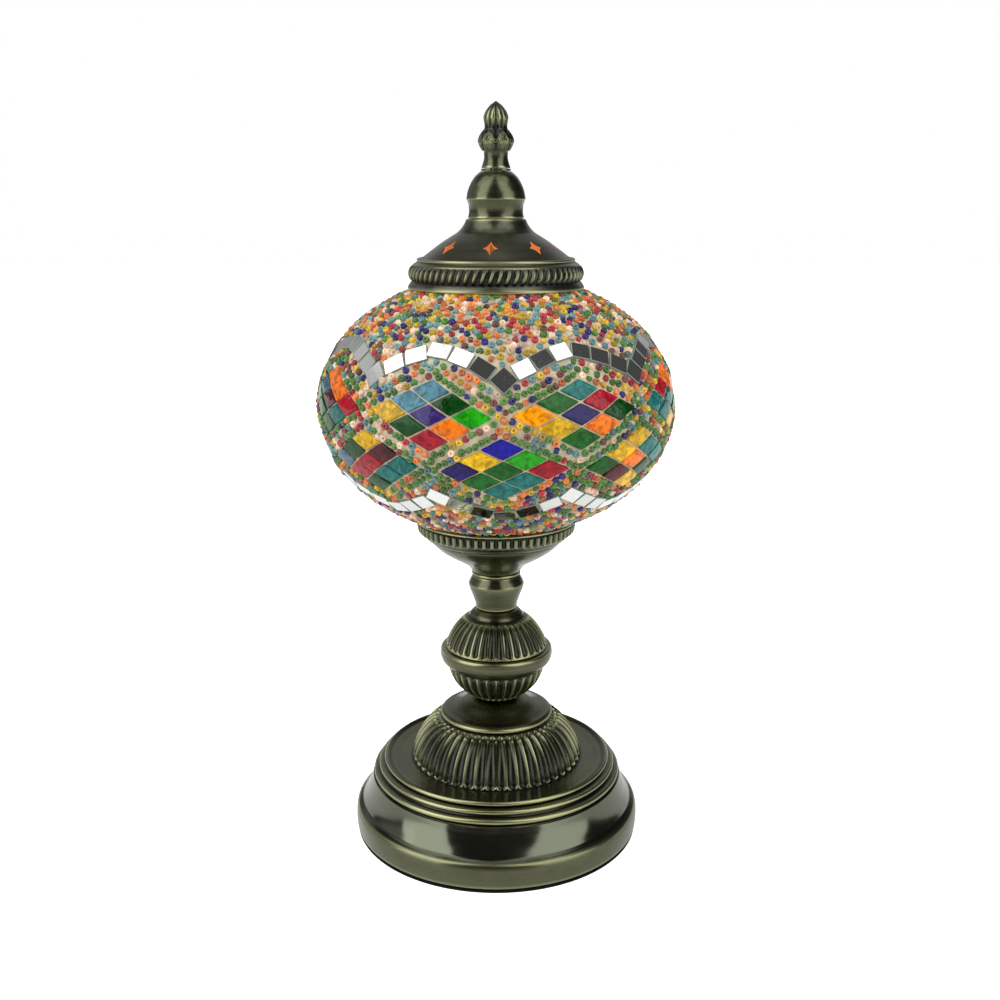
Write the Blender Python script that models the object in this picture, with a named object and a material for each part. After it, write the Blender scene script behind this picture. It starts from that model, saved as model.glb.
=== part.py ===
"""Mosaic glass table lamp, built as separate solids round one threaded tube.

Run with: blender --background --python part.py

Sizes are in millimetres in this file and become metres in the meshes through MM. The origin is on the
lamp's axis at the underside of its felt pad, with +Z up. The front is -Y and the cord leaves at +Y.
Almost every piece is turned round Z, so its outline is a list of (radius, height) points.
"""

from math import acos, cos, pi, radians, sin, sqrt

import bmesh
import bpy
from mathutils import Matrix, Vector

MM = 0.001

# Driving dimensions
GAP = 0.3  # clearance left between two pieces that touch
SEGMENTS_WIDE = 32  # sides of a full circle on the base and the shade
SEGMENTS_MIDDLE = 24  # on the turned pieces of the stem
SEGMENTS_SMALL = 16  # on hardware, lampholder and bulb

SHADE_RADIUS = 90.0
SHADE_HALF_HEIGHT = 65.5  # of the full ellipsoid that the shade is cut from
SHADE_CENTRE = 231.0
MOSAIC_DEPTH = 2.8  # grout with its tiles and beads
GLASS_WALL = 2.3
NECK_RADIUS = 39.4  # outside of the short glass necks at the top and the bottom
NECK_BOTTOM = 169.1
NECK_TOP = 291.3

BASE_RADIUS = 76.4
BASE_WALL = 1.3
FELT_DEPTH = 1.5
TUBE_RADIUS = 5.0
TUBE_BORE = 4.0
TUBE_BOTTOM = 4.0
TUBE_TOP = 161.0
TUBE_HOLE = TUBE_RADIUS + GAP  # bore of every piece threaded on the tube

ROD_RADIUS = 3.0  # M6 rod that the finial screws down on
ROD_HOLE = ROD_RADIUS + GAP
ROD_BOTTOM = 287.5
ROD_TOP = 352.5

CORD_EXIT_HEIGHT = 7.6
CORD_BORE = 3.5

CUP_FLOOR = 143.3
CUP_RIM = 172.4
CAP_BOTTOM = SHADE_CENTRE + 57.5
BELL_BOTTOM = 322.0
WASHER_BOTTOM = 344.5
FINIAL_BOTTOM = 345.6
FINIAL_TOP = 376.6
BULB_TIP = 184.0
BULB_RADIUS = 22.5
BULB_TOP = 262.0

VENTS = 8
VENT_PHASE = radians(-5)  # turn of the first vent from the front

FINISHES = {
    # name: (colour, metallic, roughness, alpha)
    "bronze": ((0.20, 0.19, 0.11), 1.0, 0.38, 1.0),
    "bronze_dark": ((0.08, 0.08, 0.05), 1.0, 0.25, 1.0),
    "zinc": ((0.55, 0.56, 0.58), 1.0, 0.35, 1.0),
    "brass": ((0.72, 0.55, 0.26), 1.0, 0.30, 1.0),
    "iron": ((0.09, 0.09, 0.09), 0.6, 0.65, 1.0),
    "felt": ((0.02, 0.02, 0.02), 0.0, 0.95, 1.0),
    "rubber": ((0.03, 0.03, 0.03), 0.0, 0.70, 1.0),
    "phenolic": ((0.04, 0.03, 0.03), 0.0, 0.35, 1.0),
    "clear_glass": ((0.95, 0.93, 0.88), 0.0, 0.05, 0.35),
    "mosaic": ((0.62, 0.38, 0.18), 0.0, 0.30, 1.0),
    "opal": ((0.98, 0.92, 0.80), 0.0, 0.40, 1.0),
    "white_plastic": ((0.85, 0.84, 0.80), 0.0, 0.40, 1.0),
}


def clear_scene():
    """Removes whatever the open file holds."""
    for old in list(bpy.data.objects):
        bpy.data.objects.remove(old, do_unlink=True)


def make_materials():
    """One Principled material for each finish."""
    made = {}
    for name, (colour, metallic, roughness, alpha) in FINISHES.items():
        material = bpy.data.materials.new(name)
        material.use_nodes = True
        shader = material.node_tree.nodes["Principled BSDF"]
        shader.inputs["Base Color"].default_value = (*colour, 1.0)
        shader.inputs["Metallic"].default_value = metallic
        shader.inputs["Roughness"].default_value = roughness
        shader.inputs["Alpha"].default_value = alpha
        made[name] = material
    return made


# Helpers that turn outlines into solids


def add_object(name, bm, parent, finish):
    """Closes the bmesh into a named object with its faces pointing out, under its body's empty."""
    bmesh.ops.recalc_face_normals(bm, faces=bm.faces)
    mesh = bpy.data.meshes.new(name)
    bm.to_mesh(mesh)
    bm.free()
    mesh.shade_smooth()
    mesh.set_sharp_from_angle(angle=radians(35))
    mesh.materials.append(MATERIALS[finish])
    made = bpy.data.objects.new(name, mesh)
    bpy.context.scene.collection.objects.link(made)
    made.parent = parent
    made.matrix_parent_inverse = Matrix.Translation(-parent.location)
    return made


def turned(name, outline, parent, finish, segments):
    """Spins an outline of (radius, height) points round Z. It is closed unless it ends on the axis."""
    bm = bmesh.new()
    corners = [bm.verts.new((radius * MM, 0, height * MM)) for radius, height in outline]
    edges = [bm.edges.new(pair) for pair in zip(corners, corners[1:])]
    if outline[0][0] > 0 or outline[-1][0] > 0:
        edges.append(bm.edges.new((corners[-1], corners[0])))
    bmesh.ops.spin(
        bm, geom=corners + edges, cent=(0, 0, 0), axis=(0, 0, 1), angle=2 * pi, steps=segments, use_merge=True
    )
    bmesh.ops.remove_doubles(bm, verts=bm.verts, dist=0.001 * MM)
    return add_object(name, bm, parent, finish)


def inset(outline, wall):
    """The outline moved by wall to its right-hand side, which is inwards when it runs up the outside."""
    moved = []
    for index, (radius, height) in enumerate(outline):
        sides = []
        for near, far in ((index - 1, index), (index, index + 1)):
            if near >= 0 and far < len(outline):
                run = Vector(outline[far]) - Vector(outline[near])
                sides.append(Vector((-run.y, run.x)).normalized())
        middle = sum(sides, Vector((0, 0))).normalized()
        reach = wall / max(middle.dot(sides[0]), 0.6)
        moved.append((radius + middle.x * reach, height + middle.y * reach))
    return moved


def arc(centre, radius, start, end, steps):
    """Points on a circle round centre, from start to end in degrees."""
    turns = [radians(start + (end - start) * step / steps) for step in range(steps + 1)]
    return [(centre[0] + radius * cos(turn), centre[1] + radius * sin(turn)) for turn in turns]


def domed(foot, top, fullness, steps):
    """Points of a dome from its foot to its top, upright at the foot and level at the top.

    A fullness of 2 is a quarter of an ellipse, and 1 is a straight cone.
    """
    points = []
    for step in range(steps + 1):
        turn = pi / 2 * step / steps
        out, up = cos(turn) ** (2 / fullness), sin(turn) ** (2 / fullness)
        points.append((top[0] + (foot[0] - top[0]) * out, foot[1] + (top[1] - foot[1]) * up))
    return points


def hex_radius(across_flats, angle):
    """How far a hexagon's side is from its centre at an angle."""
    return across_flats / 2 / cos(angle % (pi / 3) - pi / 6)


def nut(name, across_flats, bottom, top, hole, parent):
    """A plain hexagon nut: 24 points round its outside and round its bore."""
    bm = bmesh.new()
    loops = []
    for height, wide in ((bottom, True), (top, True), (top, False), (bottom, False)):
        loop = []
        for step in range(24):
            angle = 2 * pi * step / 24
            reach = hex_radius(across_flats, angle) if wide else hole
            loop.append(bm.verts.new((reach * cos(angle) * MM, reach * sin(angle) * MM, height * MM)))
        loops.append(loop)
    for near, far in zip(loops, loops[1:] + loops[:1]):
        for step in range(24):
            after = (step + 1) % 24
            bm.faces.new((near[step], near[after], far[after], far[step]))
    return add_object(name, bm, parent, "brass" if hole > ROD_HOLE else "zinc")


def washer(name, radius, hole, bottom, top, parent, finish):
    """A flat ring."""
    outline = [(hole, bottom), (radius, bottom), (radius, top), (hole, top)]
    return turned(name, outline, parent, finish, SEGMENTS_SMALL)


def cut(target, cutter):
    """Takes the cutter's solid out of the target."""
    cutter.hide_render = True
    cutter.display_type = "WIRE"
    boolean = target.modifiers.new("cut_" + cutter.name, "BOOLEAN")
    boolean.operation = "DIFFERENCE"
    boolean.object = cutter


def round_cutter(name, radius, bottom, top, parent):
    """A plain cylinder along Z."""
    outline = [(0, bottom), (radius, bottom), (radius, top), (0, top)]
    return turned(name, outline, parent, "zinc", SEGMENTS_SMALL)


def body(name, height):
    """An empty on the lamp's axis that the pieces of one moving body hang from."""
    empty = bpy.data.objects.new(name, None)
    empty.location = (0, 0, height * MM)
    bpy.context.scene.collection.objects.link(empty)
    return empty


# Base


def make_base(parent):
    """Felt pad, spun shell with its bead rings and dome, and the iron disc that weights it."""
    felt_edge = BASE_RADIUS - 0.8
    felt = [(0, 0), (felt_edge, 0), (felt_edge, FELT_DEPTH), (0, FELT_DEPTH)]
    turned("felt_pad", felt, parent, "felt", SEGMENTS_WIDE)

    shell_bottom = FELT_DEPTH + GAP
    apron_foot = (BASE_RADIUS - 3.4, 16.0)
    apron_top = (66.3, 31.6)
    shelf = (59.0, 40.2)
    dome_foot = (45.4, 39.3)
    dome_top = (31.0, 61.0)
    rings = [(66.3, 34.2), (63.6, 34.8), (63.6, 37.4), (60.6, 38.0), (60.6, 40.0)]
    outside = [(BASE_RADIUS - 0.4, shell_bottom), (BASE_RADIUS, 7.0), (BASE_RADIUS - 0.2, 12.5)]
    outside += [(BASE_RADIUS - 1.2, 14.8), apron_foot, apron_top]
    outside += rings + [shelf]
    outside += domed(dome_foot, dome_top, 1.6, 7)
    outside += [(28.5, 62.3), (TUBE_HOLE, 62.3)]
    inside = [(BASE_RADIUS - 0.4 - BASE_WALL, shell_bottom), (BASE_RADIUS - 0.2 - BASE_WALL, 12.0)]
    inside += [(BASE_RADIUS - 2.4, 13.8), (apron_foot[0] - 1.3, apron_foot[1] - 0.5)]
    inside += [(apron_top[0] - 1.6, apron_top[1] - 0.2), (60.8, 36.0)]
    inside += [(shelf[0] - 1.2, shelf[1] - BASE_WALL - 0.1)]
    inside += domed((dome_foot[0] - 1.4, dome_foot[1] - BASE_WALL), (30.4, 59.7), 1.6, 7)
    inside += [(28.2, 61.0), (TUBE_HOLE, 61.0)]
    shell = turned("base_shell", outside + inside[::-1], parent, "bronze", SEGMENTS_WIDE)

    hole = round_cutter("cord_hole", CORD_BORE + 1.4, BASE_RADIUS - 6, BASE_RADIUS + 4, parent)
    lie_along_y(hole, CORD_EXIT_HEIGHT)
    cut(shell, hole)

    bottom, shoulder, top, edge = 11.0, 15.0, 18.0, BASE_RADIUS - 5.1
    weight = [(TUBE_HOLE, bottom), (edge, bottom), (edge, shoulder), (edge - 1.4, top), (TUBE_HOLE, top)]
    turned("base_weight", weight, parent, "iron", SEGMENTS_WIDE)


def lie_along_y(made, height):
    """Turns a piece modelled along Z to lie along +Y at a height, keeping its parent."""
    made.matrix_parent_inverse = Matrix.Identity(4)
    made.location = (0, 0, height * MM)
    made.rotation_euler = (-pi / 2, 0, 0)


def make_cord_bushing(parent):
    """Grommet in the rear of the shell: a flange on each side of the wall and the cord's bore."""
    inner_face, inner_step = BASE_RADIUS - 4.0, BASE_RADIUS - 2.4
    outer_step, outer_face = BASE_RADIUS + GAP, BASE_RADIUS + 2.0
    barrel, flange = CORD_BORE + 1.0, CORD_BORE + 1.9
    outline = [(CORD_BORE, inner_face), (flange, inner_face), (flange, inner_step), (barrel, inner_step)]
    outline += [(barrel, outer_step), (flange, outer_step), (flange, outer_face - 0.6)]
    outline += [(flange - 0.6, outer_face), (CORD_BORE, outer_face)]
    bushing = turned("cord_bushing", outline, parent, "rubber", SEGMENTS_SMALL)
    lie_along_y(bushing, CORD_EXIT_HEIGHT)


def make_stem(parent):
    """The tube that clamps the stack, with its bottom nut, and the turned pieces threaded on it."""
    tube = [(TUBE_BORE, TUBE_BOTTOM), (TUBE_RADIUS, TUBE_BOTTOM),
            (TUBE_RADIUS, TUBE_TOP), (TUBE_BORE, TUBE_TOP)]
    turned("threaded_tube", tube, parent, "zinc", SEGMENTS_SMALL)
    washer("bottom_washer", 10.0, TUBE_HOLE, 9.5, 10.7, parent, "zinc")
    nut("bottom_nut", 14.0, 5.0, 9.2, TUBE_HOLE, parent)

    collar = [(TUBE_HOLE, 62.6), (27.0, 62.6), (27.0, 63.4), (29.7, 63.6), (29.7, 65.0), (28.0, 66.1)]
    collar += [(25.4, 66.6), (21.0, 68.3), (17.0, 70.6), (10.2, 72.7), (TUBE_HOLE, 72.7)]
    turned("base_collar", collar, parent, "bronze", SEGMENTS_MIDDLE)

    bowl = [(TUBE_HOLE, 73.0), (9.6, 73.0), (13.2, 74.6), (19.4, 80.5), (23.6, 87.3), (25.5, 91.5)]
    bowl += [(26.5, 92.5), (29.3, 95.5), (29.7, 98.5), (29.2, 101.5), (23.5, 101.5)]
    bowl += [(23.5, 99.8), (27.6, 99.0), (27.4, 96.2), (25.0, 94.0), (22.2, 88.2), (18.1, 81.5)]
    bowl += [(12.3, 76.2), (9.2, 74.6), (TUBE_HOLE, 74.6)]
    turned("knop_lower", bowl, parent, "bronze", SEGMENTS_MIDDLE)

    dome = [(26.8, 101.8), (25.6, 105.0), (22.7, 111.0), (20.7, 114.0), (17.3, 117.2), (13.5, 120.2)]
    dome += [(10.8, 122.5), (TUBE_HOLE, 122.5), (TUBE_HOLE, 121.0), (10.1, 121.0), (12.7, 118.8)]
    dome += [(16.3, 115.8), (19.4, 113.0), (21.3, 110.2), (24.1, 104.4), (25.2, 101.8)]
    turned("knop_upper", dome, parent, "bronze", SEGMENTS_MIDDLE)

    neck = [(TUBE_HOLE, 122.8), (10.8, 122.8), (10.9, 124.0), (12.4, 129.0), (14.4, 135.0), (14.4, 137.0)]
    neck += [(13.6, 138.6), (12.6, 141.0), (TUBE_HOLE, 141.0)]
    turned("vase_neck", neck, parent, "bronze", SEGMENTS_SMALL)

    washer("cup_collar", 12.8, TUBE_HOLE, 141.3, 143.0, parent, "bronze")


def make_cup(parent):
    """The dish that carries the shade, its gasket, and the washer and nut that clamp it to the tube."""
    inner_rim = NECK_RADIUS + 0.5
    ledge = inner_rim - 4.4
    cup = [(TUBE_HOLE, CUP_FLOOR), (12.9, CUP_FLOOR), (15.6, 147.0), (25.1, 153.0), (32.9, 159.0)]
    cup += [(34.0, 160.3), (36.5, 162.0), (38.7, 165.0), (41.2, 168.0), (41.9, 171.0), (41.2, CUP_RIM)]
    cup += [(inner_rim, CUP_RIM), (inner_rim, 167.0), (ledge, 167.0), (ledge, 165.0)]
    cup += [(31.6, 160.6), (24.2, 154.6), (14.8, 148.6), (12.0, 144.8), (TUBE_HOLE, 144.8)]
    turned("shade_cup", cup, parent, "bronze", SEGMENTS_WIDE)

    gasket = [(ledge + 0.5, 167.3), (NECK_RADIUS, 167.3), (NECK_RADIUS, 168.8), (ledge + 0.5, 168.8)]
    turned("shade_gasket", gasket, parent, "rubber", SEGMENTS_WIDE)
    washer("cup_washer", 9.5, TUBE_HOLE, 145.1, 146.1, parent, "zinc")
    nut("cup_lock_nut", 14.0, 146.4, 150.4, TUBE_HOLE, parent)


def make_harp(parent):
    """Bent steel strip round the bulb, with the rod and two nuts at its top that the finial pulls on."""
    strip, width = 1.3, 16.0
    foot, half_width, crown = 150.7, 33.5, 295.3
    bend = 20.0
    right = [(0, foot), (13.0, foot), (half_width, 166.5)]
    right += arc((half_width - bend, crown - bend), bend, 0, 90, 6)
    right += [(0, crown)]
    inner = inset(right, strip)
    inner[0], inner[-1] = (0, foot + strip), (0, crown - strip)
    outer_loop = right + [(-x, z) for x, z in right[-2:0:-1]]
    inner_loop = inner + [(-x, z) for x, z in inner[-2:0:-1]]

    bm = bmesh.new()
    loops = []
    for outline, y in ((outer_loop, -1), (outer_loop, 1), (inner_loop, 1), (inner_loop, -1)):
        loops.append([bm.verts.new((x * MM, y * width / 2 * MM, z * MM)) for x, z in outline])
    for near, far in zip(loops, loops[1:] + loops[:1]):
        for step in range(len(near)):
            after = (step + 1) % len(near)
            bm.faces.new((near[step], near[after], far[after], far[step]))
    harp = add_object("harp_frame", bm, parent, "zinc")
    cut(harp, round_cutter("harp_tube_hole", TUBE_HOLE, foot - 4, foot + 4, parent))
    cut(harp, round_cutter("harp_rod_hole", ROD_HOLE, crown - 4, crown + 4, parent))

    rod = [(0, ROD_BOTTOM), (ROD_RADIUS, ROD_BOTTOM), (ROD_RADIUS, ROD_TOP - 0.6)]
    rod += [(ROD_RADIUS - 0.6, ROD_TOP), (0, ROD_TOP)]
    turned("harp_rod", rod, parent, "zinc", 16)
    nut("harp_nut_lower", 10.0, crown - strip - GAP - 5, crown - strip - GAP, ROD_HOLE, parent)
    nut("harp_nut_upper", 10.0, crown + GAP, crown + GAP + 5, ROD_HOLE, parent)


def make_lampholder(parent):
    """E27 lampholder on the tube's top end: cap, shell, insulating cup, threaded sleeve and contact."""
    cap = [(TUBE_HOLE, 152.3), (9.5, 152.3), (9.5, 157.0), (14.5, 160.5), (18.6, 165.0), (19.5, 168.0)]
    cap += [(19.5, 171.5), (17.7, 171.5), (17.7, 168.4), (17.0, 166.0), (13.5, 162.0), (8.2, 158.5)]
    cap += [(8.2, 154.0), (TUBE_HOLE, 154.0)]
    turned("lampholder_cap", cap, parent, "phenolic", SEGMENTS_SMALL)

    shell = [(17.7, 171.8), (19.5, 171.8), (19.5, 210.0), (18.2, 212.0), (14.9, 212.0), (14.9, 210.2)]
    shell += [(17.7, 209.4)]
    turned("lampholder_shell", shell, parent, "phenolic", SEGMENTS_SMALL)

    insert = [(2.8, 172.4), (17.3, 172.4), (17.3, 206.0), (15.0, 206.0), (15.0, 182.0), (2.8, 182.0)]
    turned("lampholder_insert", insert, parent, "white_plastic", SEGMENTS_SMALL)

    sleeve = [(13.6, 182.4), (14.6, 182.4), (14.6, 208.2), (13.6, 208.2)]
    turned("lampholder_thread_sleeve", sleeve, parent, "brass", SEGMENTS_SMALL)

    contact = [(0, 170.8), (2.4, 170.8), (2.4, 182.3), (4.2, 182.3), (4.2, 183.0), (2.5, 183.7), (0, 183.7)]
    turned("lampholder_contact", contact, parent, "brass", 12)


# Shade, cap and finial


def ellipse_side(radius, half_height, edge_low, edge_high, steps):
    """Points up the outside of an ellipsoid round the shade's centre, between two edge radii."""
    low = -acos(edge_low / radius)
    high = acos(edge_high / radius)
    turns = [low + (high - low) * step / steps for step in range(steps + 1)]
    return [(radius * cos(turn), SHADE_CENTRE + half_height * sin(turn)) for turn in turns]


def ellipse_radius(radius, half_height, height):
    """The radius of such an ellipsoid at a height."""
    return radius * sqrt(1 - ((height - SHADE_CENTRE) / half_height) ** 2)


def make_shade(parent):
    """Blown glass globe open at both ends, and the layer of grout, tiles and beads on its outside."""
    glass = SHADE_RADIUS - MOSAIC_DEPTH - GAP
    glass_half = SHADE_HALF_HEIGHT - MOSAIC_DEPTH - GAP
    neck_bore = NECK_RADIUS - 2.5
    outside = ellipse_side(glass, glass_half, NECK_RADIUS, NECK_RADIUS, 10)
    inside = ellipse_side(glass - GLASS_WALL, glass_half - GLASS_WALL, neck_bore, neck_bore, 10)
    outline = [(NECK_RADIUS, NECK_BOTTOM)] + outside + [(NECK_RADIUS, NECK_TOP), (neck_bore, NECK_TOP)]
    outline += inside[::-1] + [(neck_bore, NECK_BOTTOM)]
    turned("glass_globe", outline, parent, "clear_glass", SEGMENTS_WIDE)

    collar = NECK_RADIUS + 0.35
    low, high = CUP_RIM + GAP, CAP_BOTTOM - GAP
    low_edge = ellipse_radius(SHADE_RADIUS, SHADE_HALF_HEIGHT, low)
    high_edge = ellipse_radius(SHADE_RADIUS, SHADE_HALF_HEIGHT, high)
    outside = ellipse_side(SHADE_RADIUS, SHADE_HALF_HEIGHT, low_edge, high_edge, 10)
    inside = ellipse_side(glass + GAP, glass_half + GAP, collar, collar, 10)
    outline = outside + [(collar, high)] + inside[::-1] + [(collar, low)]
    turned("mosaic_skin", outline, parent, "mosaic", SEGMENTS_WIDE)


def make_vent_cutters(parent):
    """Eight four-pointed stars with hollow sides, pushed through the dome of the cap square to its slope."""
    width, length, waist, reach = 3.2, 4.0, 1.35, 5.0
    radius, height, slope = 29.7, 309.8, radians(35)
    star = [(width, 0), (waist, waist), (0, length), (-waist, waist)]
    star += [(-x, -y) for x, y in star]
    bm = bmesh.new()
    for vent in range(VENTS):
        turn = Matrix.Rotation(VENT_PHASE + 2 * pi * vent / VENTS, 4, "Z")
        place = turn @ Matrix.Translation((0, -radius * MM, height * MM)) @ Matrix.Rotation(slope, 4, "X")
        corners = [bm.verts.new(place @ Vector((x * MM, y * MM, -reach * MM))) for x, y in star]
        face = bm.faces.new(corners)
        grown = bmesh.ops.extrude_face_region(bm, geom=[face])["geom"]
        far_side = [item for item in grown if isinstance(item, bmesh.types.BMVert)]
        bmesh.ops.translate(bm, verts=far_side, vec=place.to_3x3() @ Vector((0, 0, 2 * reach * MM)))
    return add_object("vent_cutters", bm, parent, "bronze")


def make_cap(parent):
    """Vented cap that rests on the top of the shade, and the bell on it."""
    lip_bore = NECK_RADIUS + 1.0
    outside = [(43.5, CAP_BOTTOM), (43.5, 289.6), (42.0, 291.2), (42.7, 294.0), (42.7, 298.0), (40.2, 301.4)]
    outside += [(38.8, 302.2), (38.8, 304.2), (36.6, 304.6), (34.2, 306.2), (30.9, 309.0), (26.6, 312.0)]
    outside += [(21.0, 315.0), (18.6, 316.2), (16.7, 318.0), (15.2, 320.4), (15.2, 321.7), (ROD_HOLE, 321.7)]
    inside = [(lip_bore, CAP_BOTTOM), (lip_bore, 290.4), (41.3, 292.6), (41.3, 297.2), (38.6, 300.4)]
    inside += [(35.4, 303.4), (33.2, 305.3), (30.1, 307.9), (26.0, 310.8), (20.4, 313.8), (17.6, 315.2)]
    inside += [(15.4, 317.5), (13.9, 320.3), (ROD_HOLE, 320.3)]
    cap = turned("vented_cap", outside + inside[::-1], parent, "bronze", SEGMENTS_WIDE)
    cut(cap, make_vent_cutters(parent))

    bell = [(11.9, BELL_BOTTOM), (13.4, BELL_BOTTOM), (13.4, 330.3), (14.35, 331.3), (12.7, 337.4)]
    bell += [(11.4, 340.0), (9.5, 342.8), (7.3, 344.2), (ROD_HOLE, 344.2), (ROD_HOLE, 341.4)]
    bell += [(7.6, 340.6), (9.9, 337.8), (11.9, 331.0)]
    turned("cap_bell", bell, parent, "bronze", SEGMENTS_SMALL)


def make_finial(washer_parent, finial_parent):
    """Washer under the finial, and the double bud with its blind screw hole."""
    washer("finial_washer", 7.2, ROD_HOLE, WASHER_BOTTOM, FINIAL_BOTTOM - GAP, washer_parent, "bronze")
    bud = [(ROD_HOLE, FINIAL_BOTTOM), (7.2, FINIAL_BOTTOM), (6.1, 348.0), (6.1, 353.4), (7.4, 355.2)]
    bud += [(8.7, 357.9), (8.1, 360.4), (6.8, 362.8), (6.1, 365.3), (6.8, 367.9), (5.3, 370.8), (3.4, 373.6)]
    bud += [(1.3, 375.9), (0, FINIAL_TOP)]
    hole = [(0, 355.0), (ROD_HOLE, 353.8)]
    turned("finial", hole + bud, finial_parent, "bronze", SEGMENTS_SMALL)


# Bulb


def make_bulb(tip_parent, bulb_parent):
    """E27 LED bulb: tip contact, insulator, screw cap, plastic housing and opal diffuser."""
    button = BULB_TIP + 1.6
    tip = [(0, BULB_TIP), (3.2, BULB_TIP), (4.6, BULB_TIP + 1.0), (4.6, button), (0, button)]
    turned("bulb_tip_contact", tip, tip_parent, "brass", 16)

    insulator = [(0, button + GAP), (5.2, button + GAP), (10.6, 189.4), (10.6, 191.4), (0, 191.4)]
    turned("bulb_insulator", insulator, bulb_parent, "phenolic", SEGMENTS_SMALL)

    screw = [(11.1, 189.2), (11.5, 189.0), (13.05, 191.4), (13.05, 209.0), (12.1, 209.0), (12.1, 192.0)]
    screw += [(11.1, 190.4)]
    turned("bulb_screw_cap", screw, bulb_parent, "zinc", SEGMENTS_SMALL)

    joint = BULB_TOP - BULB_RADIUS - 0.7
    outside = [(12.9, 209.3), (13.4, 213.0), (15.5, 218.0), (19.0, 226.0), (21.8, 234.0), (22.3, joint)]
    inside = [(11.4, 209.3), (11.9, 213.4), (14.1, 218.6), (17.6, 226.6), (20.3, 234.3), (20.8, joint)]
    turned("bulb_housing", outside + inside[::-1], bulb_parent, "white_plastic", SEGMENTS_SMALL)

    centre = (0, BULB_TOP - BULB_RADIUS)
    opal = arc(centre, BULB_RADIUS, 0, 90, 6)[:-1] + [(0, BULB_TOP)]
    hollow = [(0, BULB_TOP - 1.3)] + arc(centre, BULB_RADIUS - 1.3, 90, 0, 6)[1:]
    foot = joint + GAP
    turned(
        "bulb_diffuser",
        hollow + [(BULB_RADIUS - 1.3, foot), (BULB_RADIUS, foot)] + opal,
        bulb_parent,
        "opal",
        SEGMENTS_SMALL,
    )


def main():
    base = body("base_body", 0)
    make_base(base)
    make_cord_bushing(base)
    make_stem(base)
    make_cup(base)
    make_harp(base)
    make_lampholder(base)
    make_shade(body("shade_body", NECK_BOTTOM))
    make_cap(body("cap_body", CAP_BOTTOM))
    make_finial(body("finial_washer_body", WASHER_BOTTOM), body("finial_body", FINIAL_BOTTOM))
    make_bulb(body("bulb_tip_body", BULB_TIP), body("bulb_body", BULB_TIP))


clear_scene()
MATERIALS = make_materials()
main()
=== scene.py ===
"""The looks of the mosaic glass table lamp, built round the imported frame.

Sizes are in millimetres here and become metres in the meshes through MM. Angles round the lamp are
measured from the front (-Y) towards +X. A place on the shade is (angle round, latitude), both in degrees,
where the latitude is the parameter of its ellipse.
"""

from math import asin, atan2, cos, degrees, hypot, pi, radians, sin

import bmesh
import bpy
import numpy as np
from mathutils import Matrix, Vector
from mathutils.kdtree import KDTree


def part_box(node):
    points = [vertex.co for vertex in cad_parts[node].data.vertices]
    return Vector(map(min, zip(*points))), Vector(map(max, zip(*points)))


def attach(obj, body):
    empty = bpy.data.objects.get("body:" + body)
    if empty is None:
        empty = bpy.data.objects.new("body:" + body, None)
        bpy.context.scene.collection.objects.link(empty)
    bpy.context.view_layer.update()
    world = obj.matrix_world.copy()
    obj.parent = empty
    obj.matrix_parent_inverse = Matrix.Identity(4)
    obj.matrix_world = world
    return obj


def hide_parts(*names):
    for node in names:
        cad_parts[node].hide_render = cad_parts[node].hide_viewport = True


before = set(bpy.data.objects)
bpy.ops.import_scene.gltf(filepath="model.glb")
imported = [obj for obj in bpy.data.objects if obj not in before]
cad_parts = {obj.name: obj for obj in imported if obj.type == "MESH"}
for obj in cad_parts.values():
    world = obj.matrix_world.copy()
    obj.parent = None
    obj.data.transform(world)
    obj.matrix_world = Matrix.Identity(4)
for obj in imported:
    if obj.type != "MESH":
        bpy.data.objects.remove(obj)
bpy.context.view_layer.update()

MM = 0.001
rng = np.random.default_rng(11)


def high(node, axis):
    """The highest coordinate of a CAD node, in millimetres."""
    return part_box(node)[1][axis] / MM


def low(node, axis):
    """The lowest coordinate of a CAD node, in millimetres."""
    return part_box(node)[0][axis] / MM


# The ends of the mosaic, read from the frame
SKIN_LOW = low("mosaic_skin", 2)
SKIN_HIGH = high("mosaic_skin", 2)

# The radius of the glass's lower neck, and the height of the shade's middle
NECK_RADIUS = 39.4
SHADE_CENTRE = 231.0

# The radius of the hole that the lamp tube passes through
TUBE_BORE = 5.6

# How strongly hollows and edges of a profile show as wear and painted light, and that value between and on top
# of its relief: dark is patina and painted shade, bright is rubbing and painted highlight
PROFILE_WEAR_AND_SHADING = 3.2
RELIEF_DARK, RELIEF_BRIGHT = 0.62, 1.3

# Camera
CAMERA_BACK = 593.0
CAMERA_HEIGHT = 329.0
CAMERA_PITCH = 14.05
CAMERA_ASIDE = 1.95
CAMERA_LENS = 42.6


# Node graphs


class Nodes:
    """A node tree with short ways to add nodes to it."""

    def __init__(self, tree):
        self.tree = tree

    def node(self, kind, **settings):
        made = self.tree.nodes.new(kind)
        for key, value in settings.items():
            setattr(made, key, value)
        return made

    def feed(self, socket, value):
        """Links an output to the socket, or sets a plain value on it."""
        if isinstance(value, bpy.types.NodeSocket):
            self.tree.links.new(value, socket)
        elif isinstance(value, tuple) and len(value) == 3 and socket.type == "RGBA":
            socket.default_value = (*value, 1.0)
        else:
            socket.default_value = value

    def math(self, operation, first, second=0.0, clamp=False):
        made = self.node("ShaderNodeMath", operation=operation, use_clamp=clamp)
        self.feed(made.inputs[0], first)
        self.feed(made.inputs[1], second)
        return made.outputs[0]


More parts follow.
